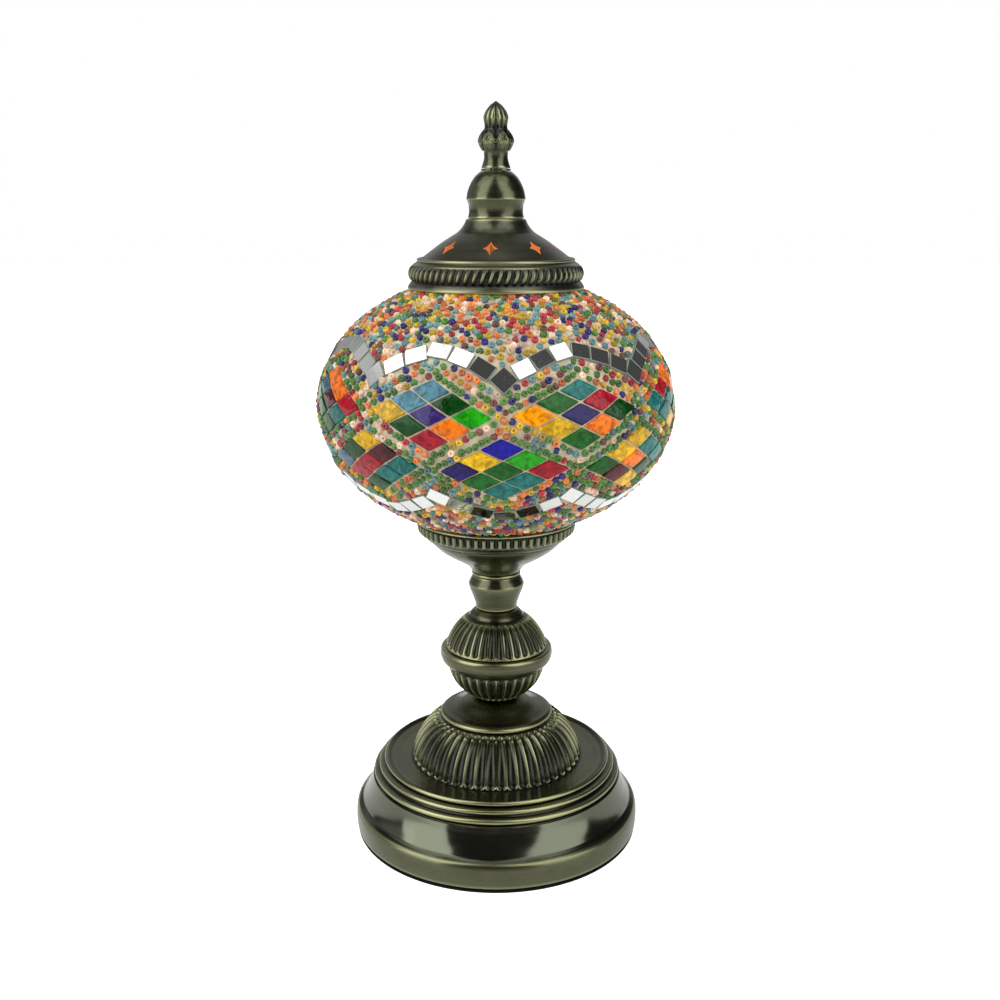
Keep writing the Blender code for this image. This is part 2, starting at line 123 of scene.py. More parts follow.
class Graph(Nodes):
    """A material's node tree, with what the materials here need."""

    def __init__(self, name):
        self.material = bpy.data.materials.new(name)
        self.material.use_nodes = True
        super().__init__(self.material.node_tree)
        self.shader = self.tree.nodes["Principled BSDF"]
        self.place = self.node("ShaderNodeTexCoord").outputs["Object"]

    def set(self, **sockets):
        """Feeds sockets of the Principled shader, named with _ for a space."""
        for key, value in sockets.items():
            self.feed(self.shader.inputs[key.replace("_", " ")], value)

    def mix(self, share, first, second, blend="MIX"):
        made = self.node("ShaderNodeMix", data_type="RGBA", blend_type=blend)
        self.feed(made.inputs[0], share)
        self.feed(made.inputs[6], first)
        self.feed(made.inputs[7], second)
        return made.outputs[2]

    def spread(self, value, low_in, high_in, low_out=0.0, high_out=1.0):
        """Maps a range of values to another, clamped."""
        made = self.node("ShaderNodeMapRange")
        for index, number in enumerate((value, low_in, high_in, low_out, high_out)):
            self.feed(made.inputs[index], number)
        return made.outputs[0]

    def noise(self, size, detail=3.0, place=None, roughness=0.5, distortion=0.0):
        """Noise whose lumps are about size millimetres across."""
        made = self.node("ShaderNodeTexNoise")
        self.feed(made.inputs["Vector"], place or self.place)
        made.inputs["Scale"].default_value = 1 / (size * MM)
        made.inputs["Detail"].default_value = detail
        made.inputs["Roughness"].default_value = roughness
        made.inputs["Distortion"].default_value = distortion
        return made.outputs["Fac"]

    def cells(self, size, feature="F1", place=None, output="Distance"):
        """Voronoi cells about size millimetres across."""
        made = self.node("ShaderNodeTexVoronoi", feature=feature)
        self.feed(made.inputs["Vector"], place or self.place)
        made.inputs["Scale"].default_value = 1 / (size * MM)
        return made.outputs[output]

    def rings(self):
        """A place made of (distance from the axis, 0, height), so that a texture runs round the lamp."""
        parts = self.node("ShaderNodeSeparateXYZ")
        self.feed(parts.inputs[0], self.place)
        across = self.math("MULTIPLY", parts.outputs[0], parts.outputs[0])
        along = self.math("MULTIPLY", parts.outputs[1], parts.outputs[1])
        reach = self.math("SQRT", self.math("ADD", across, along))
        made = self.node("ShaderNodeCombineXYZ")
        self.feed(made.inputs[0], reach)
        self.feed(made.inputs[2], parts.outputs[2])
        return made.outputs[0]

    def attribute(self, name, output="Fac"):
        return self.node("ShaderNodeAttribute", attribute_name=name).outputs[output]

    def bump(self, height, depth, strength=1.0, normal=None):
        """Bump of depth millimetres."""
        made = self.node("ShaderNodeBump")
        made.inputs["Strength"].default_value = strength
        made.inputs["Distance"].default_value = depth * MM
        self.feed(made.inputs["Height"], height)
        if normal is not None:
            self.feed(made.inputs["Normal"], normal)
        return made.outputs[0]


def bronze(name, body=(0.098, 0.104, 0.056), dark=(0.010, 0.013, 0.011), roughness=0.24):
    """Antique bronze: olive brass turned on a lathe, dark in its hollows with patina and painted shade, and
    bright on its edges where hands rub it and as a painted highlight.
    """
    bright, glossy = (0.44, 0.45, 0.23), (0.104, 0.114, 0.078)
    g = Graph(name)
    wear_and_shading = g.attribute("wear_and_shading")
    gloss = g.attribute("gloss")
    rings = g.rings()
    fine = g.noise(0.35, 2.0, rings)
    broad = g.noise(2.6, 3.0, rings)
    smudge = g.noise(19, 4.0, distortion=0.6)
    speck = g.noise(1.1, 4.0, roughness=0.7)
    recess = g.math("ADD", wear_and_shading, g.math("MULTIPLY", g.math("SUBTRACT", speck, 0.5), 0.22))
    recess = g.spread(recess, 0.06, 0.62)
    edge = g.spread(wear_and_shading, -0.16, -0.80)
    tone = g.mix(g.spread(smudge, 0.35, 0.72), body, tuple(0.72 * part for part in body))
    tone = g.mix(g.spread(broad, 0.42, 0.66, 0.0, 0.35), tone, tuple(1.25 * part for part in body))
    # Edges and ridges lighter: rubbed wear and a painted highlight.
    tone = g.mix(g.math("MULTIPLY", edge, 0.62), tone, bright)
    tone = g.mix(gloss, tone, glossy)
    # Hollows darker: patina and painted shade.
    tone = g.mix(g.math("MULTIPLY", recess, 0.94), tone, dark)
    rough = g.spread(fine, 0.3, 0.7, roughness - 0.06, roughness + 0.09)
    rough = g.math("ADD", rough, g.spread(smudge, 0.3, 0.8, 0.0, 0.07))
    rough = g.math("SUBTRACT", rough, g.math("MULTIPLY", gloss, roughness * 0.62))
    rough = g.math("ADD", rough, g.math("MULTIPLY", recess, 0.06), clamp=True)
    turned = g.bump(fine, 0.012, 0.55)
    g.set(Base_Color=tone, Metallic=1.0, Roughness=rough, Anisotropic=0.5, Anisotropic_Rotation=0.25,
          Coat_Weight=0.30, Coat_Roughness=0.12)
    g.set(Normal=g.bump(speck, 0.02, 0.35, turned))
    tangent = g.node("ShaderNodeTangent", direction_type="RADIAL", axis="Z")
    g.feed(g.shader.inputs["Tangent"], tangent.outputs[0])
    return g.material


# Meshes


def add_object(name, data):
    made = bpy.data.objects.new(name, data)
    bpy.context.scene.collection.objects.link(made)
    return made


def grid_faces(index):
    """Quads between the rows of a grid of point numbers that closes on itself sideways."""
    after = np.roll(index, -1, axis=1)
    return np.stack((index[:-1], after[:-1], after[1:], index[1:]), axis=2).reshape(-1, 4)


def joined(parts):
    """The points and faces of several (points, faces) as one."""
    starts = np.cumsum([0] + [len(points) for points, _ in parts])
    faces = [faces + start for (_, faces), start in zip(parts, starts)]
    return np.concatenate([points for points, _ in parts]), np.concatenate(faces)


# Turned pieces


def fillet(points, rounding=5):
    """The outline of (radius, height, fillet) points with each corner that has a fillet rounded off."""
    made = []
    for index, (radius, height, size) in enumerate(points):
        here = np.array((radius, height))
        if size == 0 or index in (0, len(points) - 1):
            made.append(here)
            continue
        before = np.array(points[index - 1][:2]) - here
        after = np.array(points[index + 1][:2]) - here
        start = here + before * min(0.48, size / np.linalg.norm(before))
        end = here + after * min(0.48, size / np.linalg.norm(after))
        for share in np.linspace(0, 1, rounding):
            made.append((1 - share) ** 2 * start + 2 * share * (1 - share) * here + share**2 * end)
    return np.array(made)


def through(points, steps=5):
    """(radius, height, 0) points of a smooth curve through the given (radius, height) points."""
    line = [2 * np.array(points[0]) - np.array(points[1])] + [np.array(point) for point in points]
    line.append(2 * line[-1] - line[-2])
    made = []
    for before, start, end, after in zip(line, line[1:], line[2:], line[3:]):
        for share in np.arange(steps) / steps:
            here = start * 2 + (end - before) * share + (2 * before - 5 * start + 4 * end - after) * share**2
            here = here + (3 * start - before - 3 * end + after) * share**3
            made.append((*(here / 2), 0))
    return made + [(*points[-1], 0)]


def divide(line, step):
    """The line with points added so that no stretch is longer than step(height)."""
    made = [line[0]]
    for start, end in zip(line, line[1:]):
        count = max(1, int(np.ceil(np.linalg.norm(end - start) / step((start[1] + end[1]) / 2))))
        made += [start + (end - start) * share for share in np.arange(1, count + 1) / count]
    return np.array(made)


def hollowness(line, reach=1.3):
    """How far each point lies inside its neighbours at reach, over reach: above 0 in hollows."""
    runs = np.linalg.norm(np.diff(line, axis=0), axis=1)
    way = np.concatenate(([0], np.cumsum(runs)))
    middle = np.zeros_like(line)
    for offset in (-reach, -reach / 2, reach / 2, reach):
        for part in (0, 1):
            middle[:, part] += np.interp(way + offset, way, line[:, part]) / 4
    return ((middle - line) * normals_of(line)).sum(axis=1) / reach


def normals_of(line):
    """Unit normals to the right of the line's way, which is outwards where it runs up the outside."""
    way = np.gradient(line, axis=0)
    way /= np.maximum(np.linalg.norm(way, axis=1), 1e-9)[:, None]
    return np.stack((way[:, 1], -way[:, 0]), axis=1)


def lathe(outer, inner, columns, bands=(), step=1.6, band_step=0.42):
    """Points, faces and wear-and-shading value of a turned solid: patina with painted shade in hollows,
    rubbing with painted highlight on edges.

    outer and inner are outlines of (radius, height, fillet), outer upwards and inner downwards. Each band
    is (low, high, height in mm, shape(turn, share), widest) and lifts the outer side between two heights,
    where its radius is under widest.
    """

    def spacing(height):
        return band_step if any(band[0] - 0.5 < height < band[1] + 0.5 for band in bands) else step

    outer_line = divide(fillet(outer), spacing)
    line = np.concatenate((outer_line, divide(fillet(inner), lambda height: step)))
    turn = 2 * pi * np.arange(columns) / columns
    normal = normals_of(line)
    wear_and_shading = np.repeat(hollowness(line)[:, None] * PROFILE_WEAR_AND_SHADING, columns, axis=1)
    lift = np.zeros((len(line), columns))
    for low_end, high_end, height, shape, widest in bands:
        rows = (np.arange(len(line)) < len(outer_line)) & (line[:, 0] < widest)
        rows &= (line[:, 1] >= low_end) & (line[:, 1] <= high_end)
        share = (line[rows, 1] - low_end) / (high_end - low_end)
        raised = shape(turn[None, :], share[:, None])
        lift[rows] += height * raised
        ridge = (raised - raised.min()) / max(np.ptp(raised), 1e-6)
        # Gaps of the relief darker and its tops lighter: patina and painted shade, rubbing and painted
        # highlight.
        wear_and_shading[rows] += RELIEF_DARK - RELIEF_BRIGHT * ridge**1.7
    radius = line[:, :1] + normal[:, :1] * lift
    height = line[:, 1:] + normal[:, 1:] * lift
    points = np.stack((radius * np.sin(turn), -radius * np.cos(turn), height * np.ones_like(turn)), axis=2)
    index = np.arange(len(line) * columns).reshape(-1, columns)
    faces = grid_faces(np.concatenate((index, index[:1])))
    return points.reshape(-1, 3) * MM, faces, wear_and_shading.reshape(-1)


def piece(name, points, faces, material, body, replaces=(), values=None, sharp=40):
    """A mesh object on a CAD body. faces is an array of triangles or quads; values are attributes."""
    mesh = bpy.data.meshes.new(name)
    mesh.vertices.add(len(points))
    mesh.vertices.foreach_set("co", np.asarray(points, dtype=np.float32).reshape(-1))
    corners = faces.shape[1]
    mesh.loops.add(faces.size)
    mesh.loops.foreach_set("vertex_index", faces.astype(np.int32).reshape(-1))
    mesh.polygons.add(len(faces))
    mesh.polygons.foreach_set("loop_start", np.arange(0, faces.size, corners, dtype=np.int32))
    mesh.update(calc_edges=True)
    for key, numbers in (values or {}).items():
        if np.ndim(numbers) == 2:
            made = mesh.attributes.new(key, "FLOAT_COLOR", "POINT")
            made.data.foreach_set("color", np.asarray(numbers, dtype=np.float32).reshape(-1))
        else:
            made = mesh.attributes.new(key, "FLOAT", "POINT")
            made.data.foreach_set("value", np.asarray(numbers, dtype=np.float32))
    mesh.materials.append(material)
    mesh.shade_smooth()
    if sharp:
        mesh.set_sharp_from_angle(angle=radians(sharp))
    made = add_object(name, mesh)
    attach(made, body)
    if replaces:
        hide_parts(*replaces)
    return made


def turned(name, material, body, node, outer, inner, columns, bands=(), slot="antique_bronze", **steps):
    """A turned piece that stands for a CAD node."""
    points, faces, wear_and_shading = lathe(outer, inner, columns, bands, **steps)
    return piece(name, points, faces, material, body, [node], {"wear_and_shading": wear_and_shading})


def bore(foot, top):
    """The inner outline of a piece that the lamp tube passes through."""
    return [(TUBE_BORE, top, 0), (TUBE_BORE, foot, 0)]


def flutes(count, ends=0.25, width=0.86, phase=0.0):
    """A band of scooped flutes with round ends: 0 on the ridges down to -1 in the scoops."""

    def shape(turn, share):
        across = (turn * count / (2 * pi) + phase) % 1 * 2 - 1
        beyond = np.clip((np.abs(2 * share - 1) - (1 - 2 * ends)) / (2 * ends), 0, 1)
        half = np.maximum(width * np.sqrt(1 - beyond**2), 1e-3)
        return -np.sqrt(np.clip(1 - (across / half) ** 2, 0, 1)) * np.sqrt(np.clip(1 - beyond**3, 0, 1))

    return shape


def strands(count, lean, width=0.82):
    """A rope band: round strands that lean, from 0 between them to 1 on top."""

    def shape(turn, share):
        across = (turn * count / (2 * pi) - lean * (share - 0.5)) % 1 * 2 - 1
        swell = np.sqrt(np.clip(1 - (across / width) ** 2, 0, 1))
        return swell * np.clip(np.sin(pi * np.clip(share, 0, 1)), 0, 1) ** 0.45

    return shape


# Materials


def bronze_set():
    """The lamp's own metal, and the finishes of its hardware."""
    brass, steel = (0.46, 0.36, 0.16), (0.50, 0.50, 0.47)
    return {
        "antique_bronze": bronze("antique_bronze"),
        "cap_bronze": bronze("cap_bronze", body=(0.092, 0.094, 0.060), roughness=0.30),
        "plain_brass": bronze("plain_brass", body=brass, dark=(0.05, 0.04, 0.02), roughness=0.26),
        "zinc_steel": bronze("zinc_steel", body=steel, dark=(0.10, 0.10, 0.09), roughness=0.33),
        "cast_iron": cast_iron(),
    }


def cast_iron():
    g = Graph("cast_iron")
    grain = g.noise(0.9, 5.0, roughness=0.7)
    tone = g.mix(g.noise(14, 4.0), (0.045, 0.045, 0.047), (0.075, 0.070, 0.066))
    g.set(Base_Color=tone, Metallic=0.6, Roughness=0.62, Normal=g.bump(grain, 0.12, 0.8))
    return g.material


def cap_painted_glow():
    """The inside of the cap, metallic, with its orange colour and glow painted on: painted light of the bulb
    shining up into it.
    """
    g = Graph("cap_painted_glow")
    stain = g.noise(6, 4.0)
    tone = g.mix(g.spread(stain, 0.35, 0.68), (0.72, 0.25, 0.07), (0.46, 0.13, 0.035))
    g.set(Base_Color=tone, Metallic=0.7, Roughness=0.42, Emission_Color=tone, Emission_Strength=0.85)
    return g.material


def felt():
    g = Graph("felt")
    fibre = g.noise(0.5, 6.0, roughness=0.8, distortion=1.5)
    tone = g.mix(g.spread(fibre, 0.3, 0.7), (0.004, 0.005, 0.005), (0.010, 0.013, 0.011))
    g.set(Base_Color=tone, Roughness=0.95, Specular_IOR_Level=0.1, Normal=g.bump(fibre, 0.25, 0.9))
    return g.material


def moulded(name, colour, roughness):
    """Moulded rubber, phenolic or plastic with a faint orange-peel surface."""
    g = Graph(name)
    peel = g.noise(0.8, 3.0)
    tone = g.mix(g.spread(g.noise(9, 3.0), 0.35, 0.7), colour, tuple(0.8 * part for part in colour))
    rough = g.spread(peel, 0.3, 0.7, roughness - 0.05, roughness + 0.08)
    g.set(Base_Color=tone, Metallic=0.0, Roughness=rough, Normal=g.bump(peel, 0.03, 0.4))
    return g.material


def diffuser():
    """The bulb's opal dome, lit warm and brightest low down, where its lights are."""
    g = Graph("opal_diffuser")
    parts = g.node("ShaderNodeSeparateXYZ")
    g.feed(parts.inputs[0], g.place)
    glow = g.spread(parts.outputs[2], low("bulb_diffuser", 2) * MM, high("bulb_diffuser", 2) * MM, 1.0, 0.72)
    tone = g.mix(glow, (1.0, 0.62, 0.28), (1.0, 0.74, 0.42))
    g.set(Base_Color=(0.74, 0.70, 0.60), Roughness=0.32, Emission_Color=tone, Emission_Strength=0.30)
    return g.material


def globe_glass():
    """Clear blown glass, with the faint waviness it is blown with."""
    g = Graph("clear_glass")
    wave = g.noise(16, 2.0)
    g.set(Base_Color=(0.93, 0.97, 0.95), Roughness=0.03, IOR=1.47, Transmission_Weight=1.0)
    g.set(Normal=g.bump(wave, 0.25, 0.5))
    return g.material


def tile_glass():
    """Hammered cathedral glass tiles, each with its own colour in the attribute tint, with a painted glow:
    emission standing in for the bulb's light from behind.
    """
    g = Graph("mosaic_glass")
    tint = g.attribute("tint", "Color")
    fleck = g.spread(g.noise(4.2, 3.0, distortion=1.2), 0.36, 0.64)
    fleck = g.mix(fleck, (0.50, 0.50, 0.50), (1.25, 1.25, 1.25))
    streak = g.spread(g.noise(1.1, 3.0), 0.35, 0.65)
    streak = g.mix(streak, (0.86, 0.86, 0.86), (1.06, 1.06, 1.06))
    tone = g.mix(1.0, g.mix(1.0, tint, fleck, "MULTIPLY"), streak, "MULTIPLY")
    scuffs = g.spread(g.noise(1.5, 4.0, roughness=0.7), 0.60, 0.84, 0.0, 0.10)
    pale = g.mix(scuffs, tone, (0.62, 0.66, 0.60))
    hammered = g.math("SUBTRACT", 1.0, g.cells(1.5, "SMOOTH_F1"))
    g.set(Base_Color=pale, Roughness=0.08, Specular_IOR_Level=0.26)
    g.set(Emission_Color=tone, Emission_Strength=0.28, Normal=g.bump(hammered, 0.14, 0.55))
    return g.material


def bead_glass():
    """Glass seed beads, each with its own colour in the attribute tint; hole is 1 down its bore, which is
    darkened as painted shade. Their emission is a painted glow of the bulb's light through them.
    """
    g = Graph("seed_beads")
    tint = g.attribute("tint", "Color")
    hole = g.attribute("hole")
    cloud = g.mix(g.spread(g.noise(1.3, 3.0), 0.36, 0.66), (0.66, 0.66, 0.66), (1.08, 1.08, 1.08))
    tone = g.mix(1.0, tint, cloud, "MULTIPLY")
    # Painted shade: darker down each bead's bore.
    shaded = g.mix(1.0, tone, (0.16, 0.13, 0.13), "MULTIPLY")
    tone = g.mix(g.math("MULTIPLY", g.spread(hole, 0.2, 0.95), 0.35), tone, shaded)
    g.set(Base_Color=tone, Roughness=0.10, Specular_IOR_Level=0.50)
    g.set(Emission_Color=tone, Emission_Strength=0.22, Normal=g.bump(g.noise(0.7, 2.0), 0.05, 0.5))
    return g.material


def grout():
    """Pale grout with grit and stains, and a painted peach glow in patches: emission standing in for the lit
    globe's light through it.
    """
    g = Graph("mosaic_grout")
    grit = g.noise(0.55, 5.0, roughness=0.75)
    stain = g.noise(7.0, 4.0, roughness=0.6)
    tone = g.mix(g.spread(stain, 0.35, 0.70), (0.62, 0.58, 0.42), (0.44, 0.39, 0.27))
    tone = g.mix(g.spread(grit, 0.52, 0.78, 0.0, 0.35), tone, (0.26, 0.24, 0.19))
    # Painted glow: the globe's light through the grout, as emission.
    glow = g.mix(g.spread(g.noise(4.5, 3.0), 0.40, 0.66), (0.22, 0.16, 0.11), (1.0, 0.66, 0.42))
    g.set(Base_Color=tone, Roughness=0.78, Emission_Color=glow, Emission_Strength=0.22)
    g.set(Normal=g.bump(grit, 0.16, 0.8))
    return g.material


def mirror():
    """Small mirror squares, faintly wavy and a little foxed."""
    g = Graph("mirror_tile")
    spots = g.spread(g.noise(1.6, 5.0, roughness=0.75), 0.60, 0.74)
    tone = g.mix(g.math("MULTIPLY", spots, 0.5), (0.90, 0.91, 0.89), (0.42, 0.40, 0.36))
    g.set(Base_Color=tone, Metallic=1.0, Roughness=g.spread(spots, 0.0, 1.0, 0.035, 0.22))
    g.set(Normal=g.bump(g.noise(5.0, 2.0), 0.05, 0.5))
    return g.material


def mirror_edge():
    """The ground greenish edge of a mirror square."""
    g = Graph("mirror_edge")
    chips = g.noise(0.6, 4.0, roughness=0.7)
    g.set(Base_Color=g.mix(chips, (0.16, 0.20, 0.17), (0.40, 0.46, 0.40)), Roughness=0.35)
    g.set(Normal=g.bump(chips, 0.08, 0.7))
    return g.material


# Metal pieces


def dome_line(foot, top, fullness=1.6, steps=24):
    """The base's fluted dome, upright at its foot and nearly level under the collar."""
    made = []
    for turn in np.linspace(0, pi / 2, steps):
        out, up = cos(turn) ** (2 / fullness), max(sin(turn), 0) ** (2 / fullness)
        made.append((top[0] + (foot[0] - top[0]) * out, foot[1] + (top[1] - foot[1]) * up, 0))
    return made


def ring(radius, height, swell=1.5):
    """The points of a half-round bead ring on an outline."""
    angles = np.linspace(-1.25, 1.35, 9)
    return [(radius + swell * cos(angle), height + swell * sin(angle), 0) for angle in angles]


def make_base(metal):
    outer = [(75.2, 1.9, 0), (76.0, 2.6, 0.5), (76.4, 7.0, 3), (76.2, 12.3, 2), (75.2, 14.8, 0.9),
             (73.2, 16.0, 0.5)]
    outer += through([(72.6, 16.5), (70.2, 21.0), (68.2, 26.0), (66.8, 30.4)])
    outer += ring(64.8, 32.7) + [(63.2, 34.5, 0)] + ring(62.2, 36.5, 1.3) + [(60.6, 38.0, 0)]
    outer += ring(59.3, 39.6, 1.3) + [(57.6, 39.6, 0.4), (52.0, 39.1, 2), (46.2, 39.2, 0.3)]
    outer += dome_line((45.4, 39.3), (31.0, 61.0)) + [(28.5, 62.3, 0)]
    inner = [(8.0, 62.3, 0), (8.0, 60.5, 0), (27.0, 60.3, 1), (36.0, 55.4, 3), (43.0, 40.0, 1),
             (44.0, 37.4, 0.4), (57.6, 37.6, 1), (63.8, 30.0, 1), (71.0, 15.6, 1), (73.6, 12.0, 1),
             (73.6, 1.9, 0)]
    bands = [(39.5, 61.6, 1.7, flutes(48, ends=0.09, width=0.86), 45.4)]
    points, faces, wear_and_shading = lathe(outer, inner, 432, bands, step=2.4, band_step=0.7)
    gloss = np.interp(points[:, 2] / MM, (15.2, 16.8, 31.0, 31.6), (0, 1, 1, 0))
    piece("base_casting", points, faces, metal, "base", ["base_shell"],
          {"wear_and_shading": wear_and_shading, "gloss": gloss})


def make_felt(material):
    """The felt disc under the base."""
    reach, top = high("felt_pad", 0), high("felt_pad", 2)
    outer = [(0.05, 0.02, 0), (reach - 0.3, 0.02, 0.2), (reach, 0.4, 0.2), (reach, top - 0.2, 0.1),
             (reach - 0.2, top, 0)]
    turned("felt_disc", material, "base", "felt_pad", outer, [(0.05, top, 0)], 192, slot="felt", step=8)


def make_collar(metal):
    outer = [(28.6, 63.0, 0), (29.7, 63.6, 0.4), (29.7, 65.0, 0.5), (28.0, 66.1, 0.4), (25.4, 66.6, 0.5),
             (21.0, 68.3, 2), (17.0, 70.6, 2), (13.0, 72.3, 1), (9.6, 72.7, 0)]
    turned("collar_turned", metal, "base", "base_collar", outer, bore(63.0, 72.7), 160, step=0.7)


def make_knop(metal):
    lower = [(8.6, 73.0, 0), (10.0, 73.3, 0.3)]
    lower += through([(11.4, 73.7), (15.8, 76.0), (20.2, 79.9), (23.3, 84.2), (24.9, 88.4), (25.2, 91.2)])
    lower += [(25.9, 92.2, 0.3)] + through([(26.9, 92.7), (28.8, 94.6), (29.7, 97.6), (29.5, 100.4)])
    lower += [(28.9, 101.3, 0.3), (27.9, 101.5, 0)]
    bands = [(75.2, 90.8, 1.5, flutes(31, ends=0.10, width=0.84), 30)]
    turned("knop_bowl", metal, "base", "knop_lower", lower, bore(73.0, 101.5), 558, bands, step=0.8,
           band_step=0.5)
    upper = [(26.0, 101.8, 0)]
    upper += through([(26.8, 102.1), (26.2, 104.6), (24.8, 107.8), (22.7, 111.2), (20.4, 114.2),
                      (17.3, 117.0), (14.9, 118.3)])
    upper += [(14.4, 118.7, 0.2), (13.5, 120.2, 0.8), (11.4, 122.2, 0.5), (10.2, 122.5, 0)]
    bands = [(103.0, 117.6, 1.35, flutes(36, ends=0.10, width=0.84), 30)]
    turned("knop_dome", metal, "base", "knop_upper", upper, bore(101.8, 122.5), 576, bands, step=0.8,
           band_step=0.5)


def make_neck(metal):
    outer = [(9.8, 122.8, 0), (10.9, 123.3, 0.3), (10.9, 124.2, 0.4), (11.1, 125.6, 1), (12.4, 129.4, 2),
             (14.4, 134.6, 1.5), (14.6, 136.4, 0.6), (13.6, 138.6, 0.6), (12.6, 140.4, 1), (12.2, 141.0, 0)]
    turned("neck_turned", metal, "base", "vase_neck", outer, bore(122.8, 141.0), 144, step=0.6)
    outer = [(12.0, 141.3, 0), (12.8, 141.7, 0.4), (12.8, 142.6, 0.4), (12.0, 143.0, 0)]
    turned("neck_ring", metal, "base", "cup_collar", outer, bore(141.3, 143.0), 120, step=0.4)


def gadroons(count):
    """A band of upright rounded bars with gaps between them, which the relief's patina and painted shade
    darken.
    """

    def shape(turn, share):
        across = (turn * count / (2 * pi)) % 1 * 2 - 1
        bar = np.sqrt(np.clip(1 - (across / 0.62) ** 2, 0, 1))
        return bar * np.clip(4.5 * np.minimum(share, 1 - share), 0, 1) ** 0.5

    return shape


def make_cup(metal):
    outer = [(11.0, 143.3, 0), (12.7, 143.4, 0.2)]
    outer += through([(13.2, 144.2), (15.6, 147.0), (20.2, 150.0), (25.4, 153.0), (30.0, 156.2),
                      (33.6, 159.7)])
    outer += [(34.2, 160.6, 0.3), (34.6, 161.6, 0.3), (36.4, 162.0, 0.4), (37.6, 164.0, 0.4),
              (39.0, 165.0, 0.3), (39.9, 171.2, 0.4), (41.9, 171.4, 0.3), (41.9, 172.2, 0.3), (41.2, 172.5, 0)]
    inner = [(40.0, 172.3, 0), (39.0, 166.8, 0), (34.0, 164.6, 1), (31.0, 160.4, 2), (24.0, 155.2, 3),
             (14.0, 148.6, 2), (12.5, 145.0, 0), (5.6, 144.8, 0), (5.6, 143.3, 0)]
    bands = [(165.0, 171.2, 1.5, gadroons(64), 42)]
    turned("cup_spun", metal, "base", "shade_cup", outer, inner, 512, bands, step=1.4, band_step=0.45)


VENTS = 8
VENT_RADIUS = 29.7
VENT_HEIGHT = 309.8
VENT_PHASE = -5.0
VENT_SLOPE = radians(35)


def star_points(half_width=3.5, half_length=5.0, waist=2.15):
    """A four-pointed star with hollow sides, long way along y."""
    tips = ((0, half_length), (half_width, 0), (0, -half_length), (-half_width, 0))
    tips = [Vector(tip) for tip in tips]
    made = []
    for tip, after in zip(tips, tips[1:] + tips[:1]):
        middle = (tip.normalized() + after.normalized()).normalized() * waist
        hollow = middle * 0.06
        made += [tip, tip.lerp(middle, 0.55) - hollow, middle, after.lerp(middle, 0.55) - hollow]
    return made


def cut_vents(cap):
    """Cuts the star vents through the cap's dome."""
    for index in range(VENTS):
        turn = radians(VENT_PHASE + index * 360 / VENTS)
        outward = Vector((sin(turn), -cos(turn), 0))
        normal = outward * sin(VENT_SLOPE) + Vector((0, 0, cos(VENT_SLOPE)))
        along = normal.cross(outward.cross(Vector((0, 0, 1))))
        side = along.cross(normal)
        centre = outward * VENT_RADIUS + Vector((0, 0, VENT_HEIGHT))
        outline = [centre + side * point.x + along * point.y for point in star_points()]
        count = len(outline)
        points = [point + normal * 6 for point in outline] + [point - normal * 6 for point in outline]
        mesh = bpy.data.meshes.new("vent")
        faces = [tuple(range(count)), tuple(reversed(range(count, 2 * count)))]
        faces += [(i, i + count, (i + 1) % count + count, (i + 1) % count) for i in range(count)]
        mesh.from_pydata([point * MM for point in points], [], faces)
        mesh.update()
        bm = bmesh.new()
        bm.from_mesh(mesh)
        bmesh.ops.recalc_face_normals(bm, faces=bm.faces)
        bm.to_mesh(mesh)
        bm.free()
        # The vents' cut walls take the cap's second material, the painted glow.
        mesh.materials.append(cap.data.materials[1])
        cutter = add_object("vent", mesh)
        cutting = cap.modifiers.new("vent", "BOOLEAN")
        cutting.operation = "DIFFERENCE"
        cutting.object = cutter
        cutting.material_mode = "TRANSFER"
        bpy.context.view_layer.objects.active = cap
        bpy.ops.object.modifier_apply(modifier=cutting.name)
        bpy.data.objects.remove(cutter)


def make_cap(metal, painted_glow):
    outer = [(41.8, 288.5, 0), (43.5, 288.7, 0.3), (43.5, 289.7, 0.4), (42.6, 291.2, 0.6), (41.6, 292.3, 0.4),
             (41.4, 292.6, 0.2), (42.0, 296.0, 4), (41.2, 299.6, 0.3), (40.9, 300.2, 0.3)]
    outer += through([(40.4, 300.6), (39.4, 301.2), (38.9, 301.7)]) + ring(37.9, 302.4, 0.95)
    outer += through([(36.6, 303.2), (34.6, 304.7), (31.2, 307.3), (26.2, 310.9), (22.4, 313.3),
                      (19.6, 315.0)])
    outer += through([(18.6, 315.7), (16.9, 317.5), (15.4, 319.7), (14.6, 321.5)]) + [(14.2, 321.9, 0)]
    inner = [(5.6, 321.9, 0), (5.6, 320.4, 0), (13.0, 320.2, 0.6), (17.2, 315.0, 1), (25.2, 309.9, 3),
             (32.6, 304.4, 2), (36.8, 300.6, 1), (39.0, 297.0, 2), (40.4, 290.0, 1), (41.0, 288.5, 0)]
    bands = [(292.6, 299.6, 1.5, strands(67, lean=0.62, width=0.56), 44)]
    made = turned("cap_spun", metal, "cap", "vented_cap", outer, inner, 536, bands, step=1.6,
                  band_step=0.45)
    made.data.materials.append(painted_glow)
    # The faces inside the cap take the second material, the painted glow of the bulb's light.
    upward = sorted((height, radius) for radius, height, _ in inner[2:])
    inside = []
    for polygon in made.data.polygons:
        wall = np.interp(polygon.center.z / MM, *zip(*upward))
        radius = hypot(polygon.center.x, polygon.center.y) / MM
        inside.append(int(radius < wall + 0.4 and polygon.center.z < 320 * MM))
    made.data.polygons.foreach_set("material_index", inside)
    cut_vents(made)


